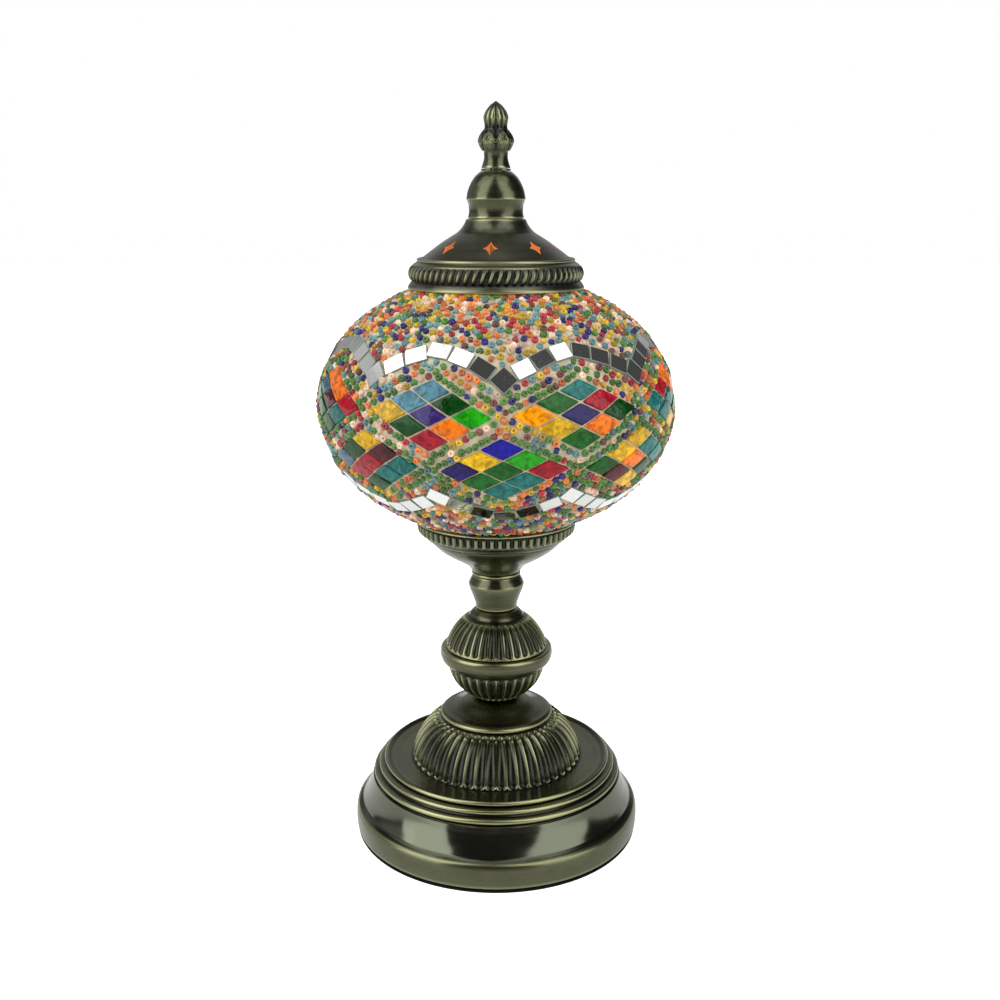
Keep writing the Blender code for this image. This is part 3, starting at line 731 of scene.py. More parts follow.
def make_bell(metal):
    outer = [(12.4, 322.0, 0), (13.5, 322.1, 0.2)]
    outer += through([(13.6, 322.6), (13.1, 325.2), (13.3, 328.4), (14.1, 330.7)]) + [(14.4, 331.3, 0.2)]
    outer += through([(14.3, 332.0), (13.6, 335.4), (12.2, 338.8), (10.2, 341.8), (8.0, 343.8)])
    outer += [(7.4, 344.2, 0)]
    inner = [(3.4, 344.2, 0), (3.4, 342.6, 0), (8.0, 341.4, 1), (11.2, 336.0, 2), (12.0, 322.0, 0)]
    turned("bell_spun", metal, "cap", "cap_bell", outer, inner, 144, step=0.6)


def leaves(count, ribs, phase=0.0, tip=1.0):
    """A whorl of leaves: raised lobes that narrow to their tips, ribbed, with gaps between them."""

    def shape(turn, share):
        across = (turn * count / (2 * pi) + phase) % 1 * 2 - 1
        half = 0.96 * np.cos(np.clip(share * tip, 0, 1) * pi / 2) ** 0.55 + 1e-3
        inside = np.clip(1 - (np.abs(across) / half) ** 2.4, 0, 1) ** 0.5
        rib = 1 - 0.30 * (0.5 - 0.5 * np.cos(ribs * 2 * pi * np.clip(across / half, -1, 1)))
        return inside * rib * (0.35 + 0.65 * np.sin(pi * np.clip(0.12 + share * 0.95, 0, 1)) ** 0.7)

    return shape


def make_finial(metal):
    outer = [(6.2, 345.6, 0), (7.0, 345.7, 0.2)]
    outer += through([(6.9, 346.3), (6.2, 348.4), (5.7, 350.6), (5.8, 353.2)])
    outer += through([(6.1, 354.0), (7.0, 356.0), (7.8, 358.2), (7.2, 360.6), (6.0, 362.9), (5.1, 365.0),
                      (5.3, 367.4), (5.5, 369.0), (4.8, 371.2), (3.4, 373.4), (1.8, 375.3), (0.9, 376.1)])
    outer += [(0.35, 376.5, 0)]
    bands = [(354.0, 363.4, 0.95, leaves(6, 4), 30),
             (363.6, 375.4, 0.6, strands(12, lean=0, width=0.9), 30)]
    turned("finial_cast", metal, "finial", "finial", outer, [(0.05, 376.55, 0), (0.05, 346.0, 0)], 240, bands,
           step=0.6, band_step=0.3)
    points, faces = joined([curl(radians(index * 60), 8.7, 358.0, 1.15) for index in range(6)])
    piece("finial_curls", points, faces, metal, "finial", (),
          {"wear_and_shading": np.full(len(points), CURL_WEAR_AND_SHADING)})


CURL_WEAR_AND_SHADING = -0.15


def curl(turn, reach, height, size, sides=12, steps=22):
    """A small scroll that ends a leaf: a tapering roll wound up in the plane of the leaf's rib."""
    outward = np.array((sin(turn), -cos(turn), 0.0))
    upward = np.array((0.0, 0.0, 1.0))
    across = np.cross(outward, upward)
    points = []
    for share in np.linspace(0, 1, steps):
        angle = -1.1 + 4.4 * share
        radius = size * (1 - 0.55 * share)
        centre = outward * (reach - size + radius * cos(angle)) + upward * (height + radius * sin(angle))
        way_out = outward * cos(angle) + upward * sin(angle)
        thick, wide = 0.42 * (1 - 0.3 * share), 1.5 * (1 - 0.45 * share)
        for side in range(sides):
            around = 2 * pi * side / sides
            points.append(centre + way_out * thick * cos(around) + across * wide * sin(around))
    return np.array(points) * MM, grid_faces(np.arange(steps * sides).reshape(steps, sides))


# The mosaic: where things go on the shade


SKIN_RADIUS, SKIN_HALF = 87.2, 62.7
TILE_HALF = 64.7


def latitude(height):
    """The latitude of a height on the tiled face of the shade."""
    return degrees(asin(max(-1, min(1, (height - SHADE_CENTRE) / TILE_HALF))))


def on_shade(turn, lat, lift=0.0):
    """Points on the shade, lift millimetres over the glass; turn and lat in degrees, numbers or arrays."""
    turn, lat = np.radians(turn), np.radians(lat)
    flat = np.stack((np.cos(lat) * np.sin(turn), -np.cos(lat) * np.cos(turn), np.sin(lat)), axis=-1)
    normal = flat / np.array((SKIN_RADIUS, SKIN_RADIUS, SKIN_HALF))
    normal /= np.linalg.norm(normal, axis=-1, keepdims=True)
    place = flat * np.array((SKIN_RADIUS, SKIN_RADIUS, SKIN_HALF)) + np.array((0, 0, SHADE_CENTRE))
    return place + normal * np.asarray(lift)[..., None]


def normals_on_shade(turn, lat):
    return (on_shade(turn, lat, 1.0) - on_shade(turn, lat, 0.0))


def paces(lat):
    """Millimetres for a degree of turn and for a degree of latitude at a latitude."""
    lat = np.radians(lat)
    around = (SKIN_RADIUS + 2) * np.cos(lat) * pi / 180
    upward = np.hypot((SKIN_RADIUS + 2) * np.sin(lat), (SKIN_HALF + 2) * np.cos(lat)) * pi / 180
    return around, upward


FOLDS = 8
# How far each crossing of the bead rows strays from its even place round the shade, in degrees
CROSSING_PHASE = 3.7
STRAY = (-1.4, 0.8, -0.6, 1.2, 0.4, -1.1, 0.7, 0.0)


def crossing(index):
    return CROSSING_PHASE + 45 * index + STRAY[index % FOLDS]


def lozenge(left, top, right, bottom):
    """The corners of a lozenge as (turn, latitude) from (turn, height)."""
    return [np.array((turn, latitude(height))) for turn, height in (left, top, right, bottom)]


def wobble(size):
    return float(rng.uniform(-size, size))


def lozenges():
    """(corners, (row, index)) of every lozenge: a row of 8 above the shade's middle and 8 below it."""
    made = []
    for index in range(FOLDS):
        left, right = crossing(index), crossing(index + 1)
        middle = (left + right) / 2
        upper = lozenge((left + 2.2 + wobble(0.5), 239.9 + wobble(0.4)),
                        (middle + wobble(0.6), 255.1 + wobble(0.6)),
                        (right - 2.8 + wobble(0.5), 239.2 + wobble(0.5)),
                        (middle + wobble(0.5), 223.2 + wobble(0.6)))
        made.append((upper, ("upper", index)))
        low_left, low_right = (crossing(index - 1) + left) / 2 + 1.9, (left + right) / 2 - 3.4
        lower = lozenge((low_left + wobble(0.6), 213.9 + wobble(0.9)),
                        (left - 0.6 + wobble(0.7), 230.3 + wobble(0.4)),
                        (low_right + wobble(0.6), 215.3 + wobble(0.9)),
                        (left + wobble(0.8), 200.0 + wobble(0.4)))
        made.append((lower, ("lower", index)))
    return made


def across(corners, u, v):
    """The place in a lozenge at u along its sides left-top and v along left-bottom, each 0 to 1."""
    left, top, right, bottom = corners
    u, v = np.asarray(u)[..., None], np.asarray(v)[..., None]
    return left * (1 - u) * (1 - v) + top * u * (1 - v) + bottom * (1 - u) * v + right * u * v


# Tile colours, linear light
GLASS = {
    "yellow": (0.72, 0.42, 0.006), "amber": (0.90, 0.30, 0.004), "orange": (0.78, 0.16, 0.004),
    "red": (0.34, 0.008, 0.020), "maroon": (0.085, 0.010, 0.016), "green": (0.006, 0.115, 0.008),
    "bright green": (0.014, 0.300, 0.006), "dark green": (0.004, 0.058, 0.007), "teal": (0.010, 0.150, 0.135),
    "blue grey": (0.055, 0.120, 0.160), "light blue": (0.060, 0.200, 0.270),
    "royal blue": (0.006, 0.003, 0.280), "navy": (0.012, 0.008, 0.100), "purple": (0.035, 0.018, 0.130),
}

# The nine tiles of a lozenge, in three rows from its upper left side to its lower right side, each row from
# the left corner's side up to the top's. The front lozenges have their own; the rest repeat these mixed.
FRONT_TILES = {
    ("upper", 7): ("yellow", "light blue", "light blue", "dark green", "purple", "dark green", "red",
                   "orange", "bright green"),
    ("upper", 0): ("amber", "green", "teal", "yellow", "navy", "red", "green", "orange", "dark green"),
    ("lower", 0): ("navy", "yellow", "royal blue", "green", "green", "bright green", "teal", "teal", "red"),
    ("lower", 7): ("blue grey", "dark green", "yellow", "red", "red", "maroon", "dark green", "teal", "teal"),
    ("lower", 1): ("green", "yellow", "yellow", "maroon", "orange", "teal", "yellow", "dark green", "teal"),
    ("upper", 6): ("green", "blue grey", "orange", "dark green", "maroon", "orange", "dark green",
                   "teal", "red"),
    ("upper", 1): ("teal", "red", "orange", "teal", "teal", "orange", "yellow", "dark green", "green"),
}


def tile_colours(key):
    if key in FRONT_TILES:
        return FRONT_TILES[key]
    own = list(FRONT_TILES[("upper", 7)] + FRONT_TILES[("lower", 1)] + FRONT_TILES[("lower", 0)])
    rng.shuffle(own)
    return own[:9]


TILE_GAP = 0.020
TILE_RIMS = (0.004, 0.996)
TILE_FOOT, TILE_TOP = 0.7, 2.15
TILE_EDGES = (0.0, 0.012, 0.035, 0.075, 0.14, 0.24, 0.37, 0.5, 0.63, 0.76, 0.86, 0.925, 0.965, 0.988, 1.0)


def rounded_square(grid_u, grid_v, rounding=0.035):
    """Pulls the corners of the unit square in, so that they are round."""
    x, y = 2 * grid_u - 1, 2 * grid_v - 1
    pull = 1 - rounding * (np.abs(x) ** 6) * (np.abs(y) ** 6)
    return (x * pull + 1) / 2, (y * pull + 1) / 2


def tile_span(column, row):
    """Low u, high u, low v and high v of a tile of a lozenge, whose outer sides reach the rim."""
    ends = (column / 3 + TILE_GAP / 2, (column + 1) / 3 - TILE_GAP / 2,
            row / 3 + TILE_GAP / 2, (row + 1) / 3 - TILE_GAP / 2)
    span = [end + wobble(0.004) for end in ends]
    for side, on_rim in enumerate((column == 0, column == 2, row == 0, row == 2)):
        if on_rim:
            span[side] = TILE_RIMS[side % 2] + wobble(0.006)
    return span


def make_tiles(shapes, material):
    """Every tile, as a low dome of hammered glass with its edges rounded down into the grout."""
    steps = np.array(TILE_EDGES)
    count = len(steps)
    grid_u, grid_v = np.meshgrid(steps, steps, indexing="ij")
    edge = np.minimum.reduce((grid_u, 1 - grid_u, grid_v, 1 - grid_v))
    rise = np.sqrt(1 - (1 - np.clip(edge / 0.05, 0, 1)) ** 2)
    index = np.arange(count * count).reshape(count, count)
    quads = (index[1:, :-1], index[1:, 1:], index[:-1, 1:], index[:-1, :-1])
    quads = np.stack(quads, axis=2).reshape(-1, 4)
    round_u, round_v = rounded_square(grid_u, grid_v)
    parts, tints = [], []
    for corners, key in shapes:
        names = tile_colours(key)
        for row in range(3):
            for column in range(3):
                low_u, high_u, low_v, high_v = tile_span(column, row)
                u, v = low_u + (high_u - low_u) * round_u, low_v + (high_v - low_v) * round_v
                place = across(corners, u, v)
                top = TILE_TOP + wobble(0.22)
                tilt_u, tilt_v = wobble(0.22), wobble(0.22)
                lumps = 0.07 * np.sin(grid_u * 9 + rng.uniform(0, 6)) * np.sin(grid_v * 8 + rng.uniform(0, 6))
                tilt = tilt_u * (grid_u - 0.5) + tilt_v * (grid_v - 0.5)
                lift = TILE_FOOT + rise * (top - TILE_FOOT + tilt + lumps)
                points = on_shade(place[..., 0], place[..., 1], lift).reshape(-1, 3)
                tint = np.array(GLASS[names[row * 3 + column]]) * rng.uniform(0.82, 1.15)
                parts.append((points, quads))
                tints.append(np.tile((*tint, 1.0), (len(points), 1)))
    points, faces = joined(parts)
    piece("mosaic_tiles", points * MM, faces, material, "shade", (),
          {"tint": np.concatenate(tints)}, sharp=0)


def wave(turn, valley, peak, valley_turns, power=1.6):
    """Height of a scalloped wave with its valleys at the given turns and a round peak between them."""
    made = []
    for angle in np.atleast_1d(turn):
        before = max(v for v in valley_turns if v <= angle + 1e-6)
        after = min(v for v in valley_turns if v > angle + 1e-6)
        share = abs((angle - before) / (after - before) * 2 - 1)
        made.append(peak - (peak - valley) * share**power)
    return np.array(made)


def upper_wave(turn):
    valleys = [crossing(index) for index in range(-2, 11)]
    return wave(turn, 254.4, 265.9, valleys)


def lower_wave(turn):
    """The mirror wave below the tiles: lowest under each lower lozenge, with a cusp between two of them."""
    peaks = [(crossing(index) + crossing(index + 1)) / 2 for index in range(-3, 11)]
    return 201.0 - wave(turn, 0.0, 10.0, peaks, 1.5)


MIRROR = 7.9
CORNER_MIRROR = 9.2


def mirror_places(height_at, cusps, counts, on_corner):
    """(turn, latitude, slant, width) of mirrors along a wave, so many to each stretch from cusp to cusp.

    The first of a stretch lies on its cusp, turned onto its corner where on_corner says so.
    """
    made = []
    for start, end, count in zip(cusps, cusps[1:], counts):
        turns = np.linspace(start, end, 241)
        lats = np.array([latitude(height) for height in height_at(turns)])
        points = on_shade(turns, lats, 2.0)
        way = np.concatenate(([0], np.cumsum(np.linalg.norm(np.diff(points, axis=0), axis=1))))
        for step in range(count):
            here = way[-1] * (step + 0.03) / count + (wobble(0.3) if step else 0)
            turn, lat = np.interp(here, way, turns), np.interp(here, way, lats)
            after_turn, after_lat = np.interp(here + 1.5, way, turns), np.interp(here + 1.5, way, lats)
            around, upward = paces(lat)
            slant = degrees(atan2((after_lat - lat) * upward, (after_turn - turn) * around))
            width = way[-1] / count - 0.8 + wobble(0.35)
            if step == 0 and on_corner:
                slant, width = 45, CORNER_MIRROR
            made.append((turn, lat, slant + wobble(3), width))
    return made


def surface_frame(turn, lat, slant=0.0):
    """Unit vectors across, up and out of the shade at a place, turned by slant in degrees."""
    out = normals_on_shade(turn, lat)
    east = np.array((cos(radians(turn)), sin(radians(turn)), 0.0))
    north = np.cross(out, east)
    angle = radians(slant)
    return east * cos(angle) + north * sin(angle), north * cos(angle) - east * sin(angle), out


def make_mirrors(places, material, edge_material):
    """Mirror squares with a narrow ground edge, each bedded at its own slight tilt."""
    half, chamfer = MIRROR / 2, 0.30
    rings_out = ((half, 0.2), (half, 1.55 - 0.22), (half - chamfer, 1.55))
    corners = ((-1, -1), (1, -1), (1, 1), (-1, 1))
    all_points, all_faces, face_kinds = [], [], []
    for turn, lat, slant, width in places:
        side, up, out = surface_frame(turn, lat, slant)
        tilt_side, tilt_up = np.radians(rng.normal(0, 1.1, 2))
        out = out + side * tilt_side + up * tilt_up
        out /= np.linalg.norm(out)
        up = np.cross(out, side)
        up /= np.linalg.norm(up)
        side = np.cross(up, out)
        centre = on_shade(turn, lat, 0.75)
        tall = (CORNER_MIRROR if width == CORNER_MIRROR else MIRROR + wobble(0.3)) / MIRROR
        base = 12 * len(all_points)
        wider = (width - MIRROR) / 2
        all_points.append([centre + side * x * (reach + wider) + up * y * reach * tall + out * lift
                           for reach, lift in rings_out for x, y in corners])
        for level in (0, 1):
            for index in range(4):
                first, second = base + 4 * level + index, base + 4 * level + (index + 1) % 4
                all_faces.append((first, second, second + 4, first + 4))
                face_kinds.append(1)
        all_faces.append(tuple(base + 8 + index for index in range(4)))
        face_kinds.append(0)
    points = np.array(all_points).reshape(-1, 3) * MM
    made = piece("mirror_squares", points, np.array(all_faces), material, "shade", (), sharp=12)
    made.data.materials.append(edge_material)
    made.data.polygons.foreach_set("material_index", face_kinds)


# Beads


# Bead colours, linear light, and the share of each in the field and in the rows round the lozenges
BEADS = {
    "orange": (0.74, 0.190, 0.040), "red": (0.44, 0.020, 0.035), "yellow": (0.66, 0.42, 0.020),
    "teal": (0.13, 0.28, 0.29), "navy": (0.014, 0.012, 0.160), "green": (0.070, 0.210, 0.030),
    "clear": (0.86, 0.62, 0.44), "brown": (0.19, 0.060, 0.045),
}
FIELD_MIX = (0.16, 0.08, 0.15, 0.19, 0.08, 0.12, 0.17, 0.05)
ROW_MIX = (0.12, 0.06, 0.09, 0.07, 0.05, 0.50, 0.05, 0.06)

# Millimetres from bead to bead along a row, along and between the rows of the field, and the random places
# tried after those
ROW_PITCH, FIELD_PITCH, FIELD_STEP = 3.12, 3.42, 2.96
SPARE_PLACES = 42000
# How far over the glass bead centres are laid, and how near settled beads come to each other and to tiles
BEAD_LIFT = 1.6
BEAD_REACH, TILE_REACH = 4.1, 2.15
# The sides of a lozenge that have a second row of beads
OUTER_SIDES = {"upper": (0, 1), "lower": (2, 3)}


def row_candidates(shapes):
    """Places for the beads that line the lozenges, one and two rows out, in the order they are laid."""
    made = []
    for offset, outer_only in ((2.0, False), (5.5, True)):
        for corners, key in shapes:
            ring_points = list(corners) + [corners[0]]
            for side in range(4):
                if outer_only and side not in OUTER_SIDES[key[0]]:
                    continue
                start, end = ring_points[side], ring_points[side + 1]
                around, upward = paces((start[1] + end[1]) / 2)
                run = np.array(((end[0] - start[0]) * around, (end[1] - start[1]) * upward))
                length = np.linalg.norm(run)
                run /= length
                outward = np.array((-run[1], run[0]))
                extra = offset * 0.5
                count = int(round((length + 2 * extra) / ROW_PITCH))
                for step in range(count + 1):
                    here = -extra + (length + 2 * extra) * step / count
                    turn = start[0] + (run[0] * here + outward[0] * offset + wobble(0.12)) / around
                    lat = start[1] + (run[1] * here + outward[1] * offset + wobble(0.12)) / upward
                    made.append((turn, lat))
    return made


def field_candidates():
    """Places for the beads that fill the rest, in loose rows round the shade, then at random for the gaps."""
    made = []
    low_lat, high_lat = latitude(SKIN_LOW + 1.5), latitude(SKIN_HIGH - 0.6)
    lat = high_lat
    while lat > low_lat:
        around, upward = paces(lat)
        count = int(360 * around / FIELD_PITCH)
        first = rng.uniform(0, 360)
        for step in range(count):
            made.append((first + 360 * step / count + wobble(0.42) / around, lat + wobble(0.42) / upward))
        lat -= FIELD_STEP / upward
    turns = rng.uniform(0, 360, SPARE_PLACES)
    heights = rng.uniform(sin(radians(low_lat)), sin(radians(high_lat)), SPARE_PLACES)
    lats = np.degrees(np.arcsin(heights))
    return made + list(zip(turns, lats))


def blocked_places(shapes, mirrors):
    """Points spread over every tile and mirror, from which the beads keep away."""
    made = []
    steps = np.linspace(0, 1, 28)
    grid_u, grid_v = np.meshgrid(steps, steps)
    for corners, _ in shapes:
        place = across(corners, grid_u.ravel(), grid_v.ravel())
        made.append(on_shade(place[:, 0], place[:, 1], BEAD_LIFT))
    steps = np.linspace(-0.5, 0.5, 9)
    grid_x, grid_y = np.meshgrid(steps, steps)
    for turn, lat, slant, width in mirrors:
        side, up, _ = surface_frame(turn, lat, slant)
        spread = grid_x.reshape(-1, 1) * side * width
        made.append(on_shade(turn, lat, BEAD_LIFT) + spread + grid_y.reshape(-1, 1) * up * MIRROR)
    return np.concatenate(made)


def tree_of(points):
    """The points as a tree that finds the nearest of them."""
    tree = KDTree(len(points))
    for index, point in enumerate(points):
        tree.insert(point, index)
    tree.balance()
    return tree


def lay_beads(shapes, blocked):
    """The place of each bead, none nearer to another than their size allows, and whether it is in a row."""
    tree = tree_of(blocked)
    rows = row_candidates(shapes)
    field = field_candidates()
    low_lat, high_lat = latitude(SKIN_LOW + 1.2), latitude(SKIN_HIGH - 0.3)
    laid = np.full((9000, 3), 1e6)
    in_rows = []
    for number, (turn, lat) in enumerate(rows + field):
        if not low_lat < lat < high_lat:
            continue
        in_row = number < len(rows)
        here = on_shade(turn, lat, BEAD_LIFT)
        if tree.find(here)[2] < (1.60 if in_row else 1.66):
            continue
        spacing = 2.95 if in_row else (3.05 if number < len(rows) + 4000 else 2.80)
        count = len(in_rows)
        gaps = laid[:count] - here
        if count and (gaps * gaps).sum(axis=1).min() < spacing**2:
            continue
        laid[count] = here
        in_rows.append(in_row)
    return laid[: len(in_rows)], in_rows


def settle(laid, blocked, rounds=14):
    """Pushes beads that sit too close apart, and off the tiles, so that they spread evenly."""
    fixed = tree_of(blocked)
    places = laid.copy()
    for _ in range(rounds):
        tree = tree_of(places)
        moved = places.copy()
        for index, point in enumerate(places):
            push = np.zeros(3)
            for other, number, gap in tree.find_range(point, BEAD_REACH):
                if number != index and gap > 1e-6:
                    push += (point - np.array(other)) / gap * (BEAD_REACH - gap) * 0.22
            near, _, gap = fixed.find(point)
            if gap < TILE_REACH and gap > 1e-6:
                push += (point - np.array(near)) / gap * (TILE_REACH - gap) * 0.6
            moved[index] += push
        places = moved
    return places


def back_on_shade(places):
    """The (turn, latitude) of each place near the shade."""
    turn = np.degrees(np.arctan2(places[:, 0], -places[:, 1]))
    reach = np.hypot(places[:, 0], places[:, 1]) / (SKIN_RADIUS + BEAD_LIFT)
    return turn, np.degrees(np.arctan2((places[:, 2] - SHADE_CENTRE) / (SKIN_HALF + BEAD_LIFT), reach))


def bead_shape(around=12, section=6, bore=0.12, squash=0.80):
    """A seed bead of radius 1: points, faces and how deep each point is in the bore."""
    points, depth = [], []
    middle, thick = (1 + bore) / 2, (1 - bore) / 2
    for step in range(around):
        angle = 2 * pi * step / around
        for index in range(section):
            turn = 2 * pi * index / section
            radius = middle + thick * cos(turn)
            height = squash * sin(turn) * (0.5 + 0.5 * thick) * 1.35
            points.append((radius * cos(angle), radius * sin(angle), height))
            depth.append(max(0.0, -cos(turn)) ** 1.5)
    index = np.arange(around * section).reshape(around, section)
    after, above = np.roll(index, -1, axis=0), np.roll(index, -1, axis=1)
    over = np.roll(after, -1, axis=1)
    faces = np.stack((index, after, over, above), axis=2).reshape(-1, 4)
    return np.array(points), faces, np.array(depth)


def make_beads(shapes, mirrors, material):
    """The seed beads, in one piece for each colour."""
    blocked = blocked_places(shapes, mirrors)
    laid, in_rows = lay_beads(shapes, blocked)
    turns, lats = back_on_shade(settle(laid, blocked))
    low_lat, high_lat = latitude(SKIN_LOW + 1.2), latitude(SKIN_HIGH - 0.3)
    shape, faces, depth = bead_shape()
    names = list(BEADS)
    grouped = {name: [] for name in names}
    for in_row, turn, lat in zip(in_rows, turns, np.clip(lats, low_lat, high_lat)):
        name = names[rng.choice(len(names), p=np.array(ROW_MIX if in_row else FIELD_MIX))]
        grouped[name].append((turn, lat))
    for name, own in grouped.items():
        parts, tints = [], []
        for turn, lat in own:
            side, up, out = surface_frame(turn, lat, rng.uniform(0, 360))
            lean = radians(abs(rng.normal(0, 16)) if rng.random() < 0.66 else rng.uniform(55, 90))
            axis = out * cos(lean) + side * sin(lean)
            second = side * cos(lean) - out * sin(lean)
            size = rng.normal(1.69, 0.09)
            sunk = min(2.75 - size * (0.72 if lean < 0.9 else 0.98), 1.55)
            centre = on_shade(turn, lat, sunk + wobble(0.10))
            local = shape * size
            points = centre + local[:, :1] * second + local[:, 1:2] * up + local[:, 2:] * axis
            parts.append((points, faces))
            tint = np.array(BEADS[name]) * rng.uniform(0.55, 1.25) + rng.uniform(0, 0.02, 3)
            tints.append(np.tile((*tint, 1.0), (len(shape), 1)))
        points, all_faces = joined(parts)
        piece("beads_" + name, points * MM, all_faces, material, "shade", (),
              {"tint": np.concatenate(tints), "hole": np.tile(depth, len(own))}, sharp=0)


def make_grout(material):
    """The bed of grout over the glass, lumpy, with its edges turned in at both openings."""
    columns, rows = 480, 170
    lats = np.linspace(latitude(SKIN_LOW + 0.4), latitude(SKIN_HIGH - 0.2), rows)
    turns = np.linspace(0, 360, columns, endpoint=False)
    grid_lat, grid_turn = np.meshgrid(lats, turns, indexing="ij")
    rough = rng.normal(0, 1, (rows, columns))
    for _ in range(2):
        rough = sum((np.roll(rough, *way) for way in ((1, 1), (-1, 1), (1, 0), (-1, 0))), rough) / 5
    points = on_shade(grid_turn, grid_lat, 1.12 + 0.28 * rough)
    edge = np.full((1, columns), 0.05)
    first = on_shade(grid_turn[:1], grid_lat[:1], edge)
    last = on_shade(grid_turn[-1:], grid_lat[-1:], edge)
    points = np.concatenate((first, points, last))
    faces = grid_faces(np.arange(points.shape[0] * columns).reshape(-1, columns))
    piece("grout_bed", points.reshape(-1, 3) * MM, faces, material, "shade", ["mosaic_skin"],
          sharp=0)


def make_globe(material):
    """The blown glass globe with its two fire-polished necks."""
    wall, outer_radius, outer_half = 2.3, 86.9, 62.4
    outer, inner = [], []
    low_lat, high_lat = -62.5, 64.6
    for lat in np.radians(np.linspace(low_lat, high_lat, 60)):
        for line, inset in ((outer, 0), (inner, wall)):
            height = SHADE_CENTRE + (outer_half - inset) * sin(lat)
            line.append(((outer_radius - inset) * cos(lat), height, 0))
    foot, crown = low("glass_globe", 2), high("glass_globe", 2)
    outer = [(NECK_RADIUS - wall + 0.4, foot + 0.3, 0), (NECK_RADIUS - 0.6, foot + 0.1, 0.4),
             (NECK_RADIUS, foot + 1.0, 0.4)] + outer
    outer += [(36.7, crown - 1.2, 0.5), (36.2, crown - 0.2, 0.5), (35.2, crown - 0.1, 0.4)]
    inner = [(34.3, crown - 1.5, 0.5)] + inner[::-1] + [(NECK_RADIUS - wall, foot + 1.5, 0.5)]
    turned("globe_blown", material, "shade", "glass_globe", outer, inner, 192, slot="clear_glass", step=4)


# Finishes for the CAD nodes that keep their own shape


OWN_SHAPES = {
    "cast_iron": ("base_weight",),
    "black_rubber": ("cord_bushing", "shade_gasket"),
    "zinc_steel": ("bottom_washer", "bottom_nut", "threaded_tube", "cup_washer", "cup_lock_nut", "harp_rod",
                   "harp_nut_lower", "harp_nut_upper", "bulb_tip_contact", "bulb_screw_cap"),
    "plain_brass": ("harp_frame", "lampholder_thread_sleeve", "lampholder_contact"),
    "antique_bronze": ("finial_washer",),
    "black_phenolic": ("lampholder_cap", "lampholder_shell", "bulb_insulator"),
    "white_plastic": ("lampholder_insert", "bulb_housing"),
    "opal_diffuser": ("bulb_diffuser",),
}


def finish_nodes(materials):
    """Gives each CAD node that still shows its material."""
    for finish, names in OWN_SHAPES.items():
        for name in names:
            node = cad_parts[name]
            node = node if isinstance(node, bpy.types.Object) else bpy.data.objects[name]
            for slot in node.material_slots:
                slot.material = materials[finish]
            node.data.shade_smooth()
            node.data.set_sharp_from_angle(angle=radians(35))


# The studio


def make_camera():
    camera = add_object("camera", bpy.data.cameras.new("camera"))
    camera.location = (CAMERA_ASIDE * MM, -CAMERA_BACK * MM, CAMERA_HEIGHT * MM)
    camera.rotation_euler = (radians(90 - CAMERA_PITCH), 0, 0)
    camera.data.lens = CAMERA_LENS
    camera.data.clip_start = 0.01
    bpy.context.scene.camera = camera


def make_floor():
    g = Graph("floor")
    g.set(Base_Color=(0.80, 0.80, 0.79), Roughness=0.8, Emission_Color=(1.0, 1.0, 1.0))
    rays = g.node("ShaderNodeLightPath").outputs
    shiny = g.math("MULTIPLY", rays["Is Glossy Ray"], 0.27)
    g.set(Emission_Strength=g.math("MAXIMUM", rays["Is Camera Ray"], shiny))
    mesh = bpy.data.meshes.new("floor")
    mesh.from_pydata([(-6, -6, 0), (6, -6, 0), (6, 6, 0), (-6, 6, 0)], [], [(0, 1, 2, 3)])
    mesh.materials.append(g.material)
    floor = add_object("floor", mesh)


# The studio's soft panels, as (azimuth from, to, elevation from, to, strength, softness of the edges, lean),
# in degrees. Azimuth goes round from the front (-Y) towards +X, and is the panel's at elevation 50; lean is
# how much it grows with each degree of elevation.
PANELS = (
    (-71, -30, -8, 74, 2.5, 2.5, 0.27),
    (-104, -71, 32, 66, 2.0, 5, 0.0),
    (-140, -71, 4, 32, 0.42, 7, 0.0),
    (14, 58, -8, 74, 2.1, 2.5, -0.5),
    (58, 92, 50, 70, 2.0, 5, 0.0),
    (148, 200, 6, 62, 0.42, 20, 0.0),
    (-200, -148, 6, 62, 0.42, 20, 0.0),
    (-400, 400, 76, 120, 0.90, 14, 0.0),
)
AMBIENT = 0.06


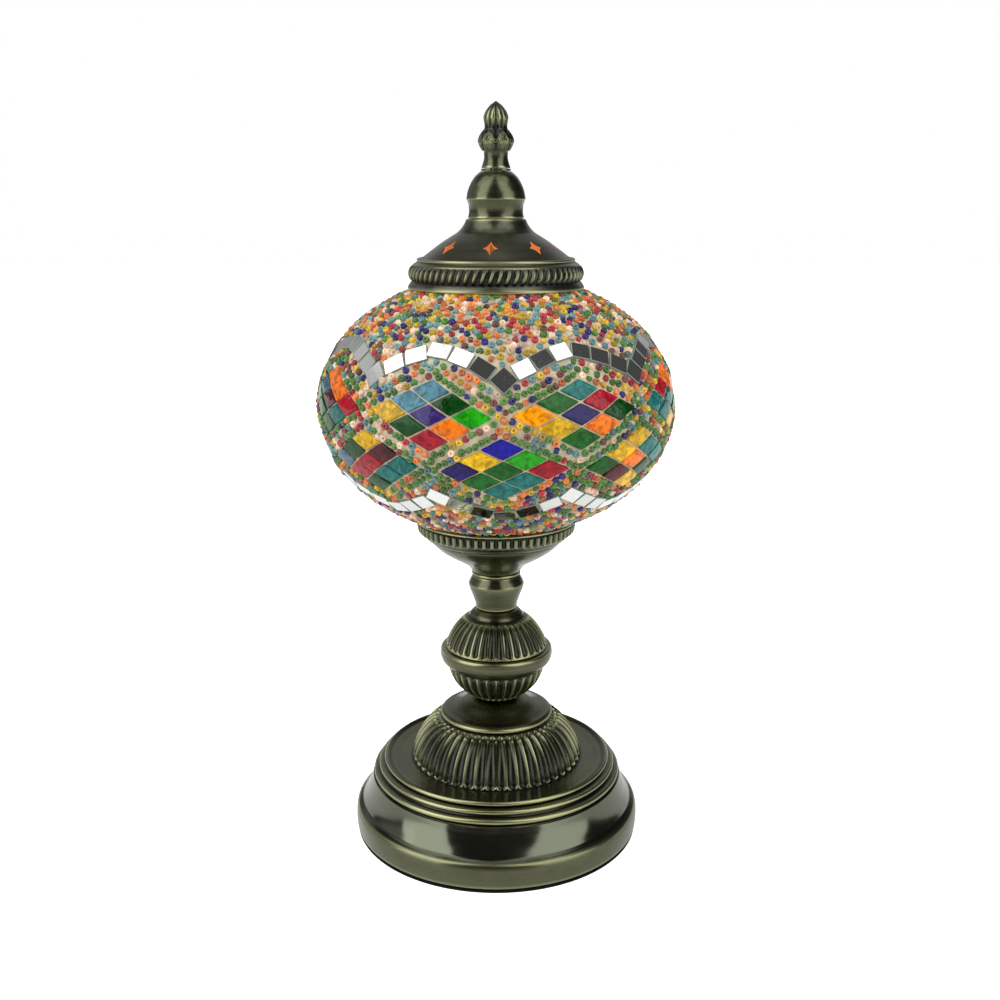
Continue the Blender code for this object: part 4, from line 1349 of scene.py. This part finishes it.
def panel_world():
    """A dark studio with soft panels round the lamp; the camera sees plain white behind it."""
    world = bpy.data.worlds.new("studio")
    bpy.context.scene.world = world
    world.use_nodes = True
    world.node_tree.nodes.clear()
    g = Nodes(world.node_tree)

    def inside(value, start, end, soft):
        """1 between start and end, falling to 0 over soft outside them."""
        made = []
        for edge, way in ((start, 1), (end, -1)):
            ramp = g.node("ShaderNodeMapRange", interpolation_type="SMOOTHSTEP")
            ends = (radians(edge - soft * way / 2), radians(edge + soft * way / 2))
            for socket, number in zip(ramp.inputs, (value, *ends)):
                g.feed(socket, number)
            made.append(ramp.outputs[0])
        return g.math("MULTIPLY", *made)

    way = g.node("ShaderNodeSeparateXYZ")
    g.feed(way.inputs[0], g.node("ShaderNodeTexCoord").outputs["Generated"])
    azimuth = g.math("ARCTAN2", way.outputs[0], g.math("MULTIPLY", way.outputs[1], -1.0))
    elevation = g.math("ARCSINE", way.outputs[2])
    light = AMBIENT
    for start, end, low_edge, high_edge, strength, soft, lean in PANELS:
        grown = g.math("MULTIPLY", g.math("SUBTRACT", elevation, radians(50)), lean)
        upright = g.math("SUBTRACT", azimuth, grown)
        height = inside(elevation, low_edge, high_edge, soft)
        panel = g.math("MULTIPLY", inside(upright, start, end, soft), height)
        light = g.math("ADD", g.math("MULTIPLY", panel, strength), light)
    seen = g.node("ShaderNodeLightPath").outputs["Is Camera Ray"]
    back = g.node("ShaderNodeBackground")
    unseen = g.math("MULTIPLY", light, g.math("SUBTRACT", 1.0, seen))
    g.feed(back.inputs["Strength"], g.math("ADD", unseen, seen))
    back.inputs["Color"].default_value = (1, 1, 1, 1)
    g.feed(g.node("ShaderNodeOutputWorld").inputs["Surface"], back.outputs[0])


def make_lights():
    """The panels, and an overhead fill that only shows in matt surfaces."""
    panel_world()
    light = bpy.data.lights.new("overhead", "AREA")
    light.size = 2.4
    light.energy = 7
    made = add_object("overhead", light)
    made.location = (0, -0.5, 2.0)
    made.rotation_euler = (radians(-14), 0, 0)
    made.visible_camera = False
    made.visible_glossy = False
    bpy.context.scene.view_settings.view_transform = "Standard"


def make_others():
    return {
        "felt": felt(), "black_rubber": moulded("black_rubber", (0.018, 0.018, 0.018), 0.6),
        "black_phenolic": moulded("black_phenolic", (0.022, 0.020, 0.019), 0.32),
        "white_plastic": moulded("white_plastic", (0.78, 0.77, 0.73), 0.40), "opal_diffuser": diffuser(),
    }


def make_shade():
    shapes = lozenges()
    cusps = [crossing(index) for index in range(FOLDS)] + [crossing(0) + 360]
    mirrors = mirror_places(upper_wave, cusps, (7,) * 7 + (6,), True)
    cusps = [(crossing(index) + crossing(index + 1)) / 2 for index in range(FOLDS)]
    mirrors += mirror_places(lower_wave, cusps + [cusps[0] + 360], (6,) * FOLDS, False)
    make_globe(globe_glass())
    make_grout(grout())
    make_tiles(shapes, tile_glass())
    make_mirrors(mirrors, mirror(), mirror_edge())
    make_beads(shapes, mirrors, bead_glass())


def main():
    make_camera()
    materials = bronze_set() | make_others()
    metal = materials["antique_bronze"]
    make_base(metal)
    make_felt(materials["felt"])
    make_collar(metal)
    make_knop(metal)
    make_neck(metal)
    make_cup(metal)
    make_cap(materials["cap_bronze"], cap_painted_glow())
    make_bell(metal)
    make_finial(metal)
    make_shade()
    finish_nodes(materials)
    make_floor()
    make_lights()


main()
bpy.context.view_layer.update()
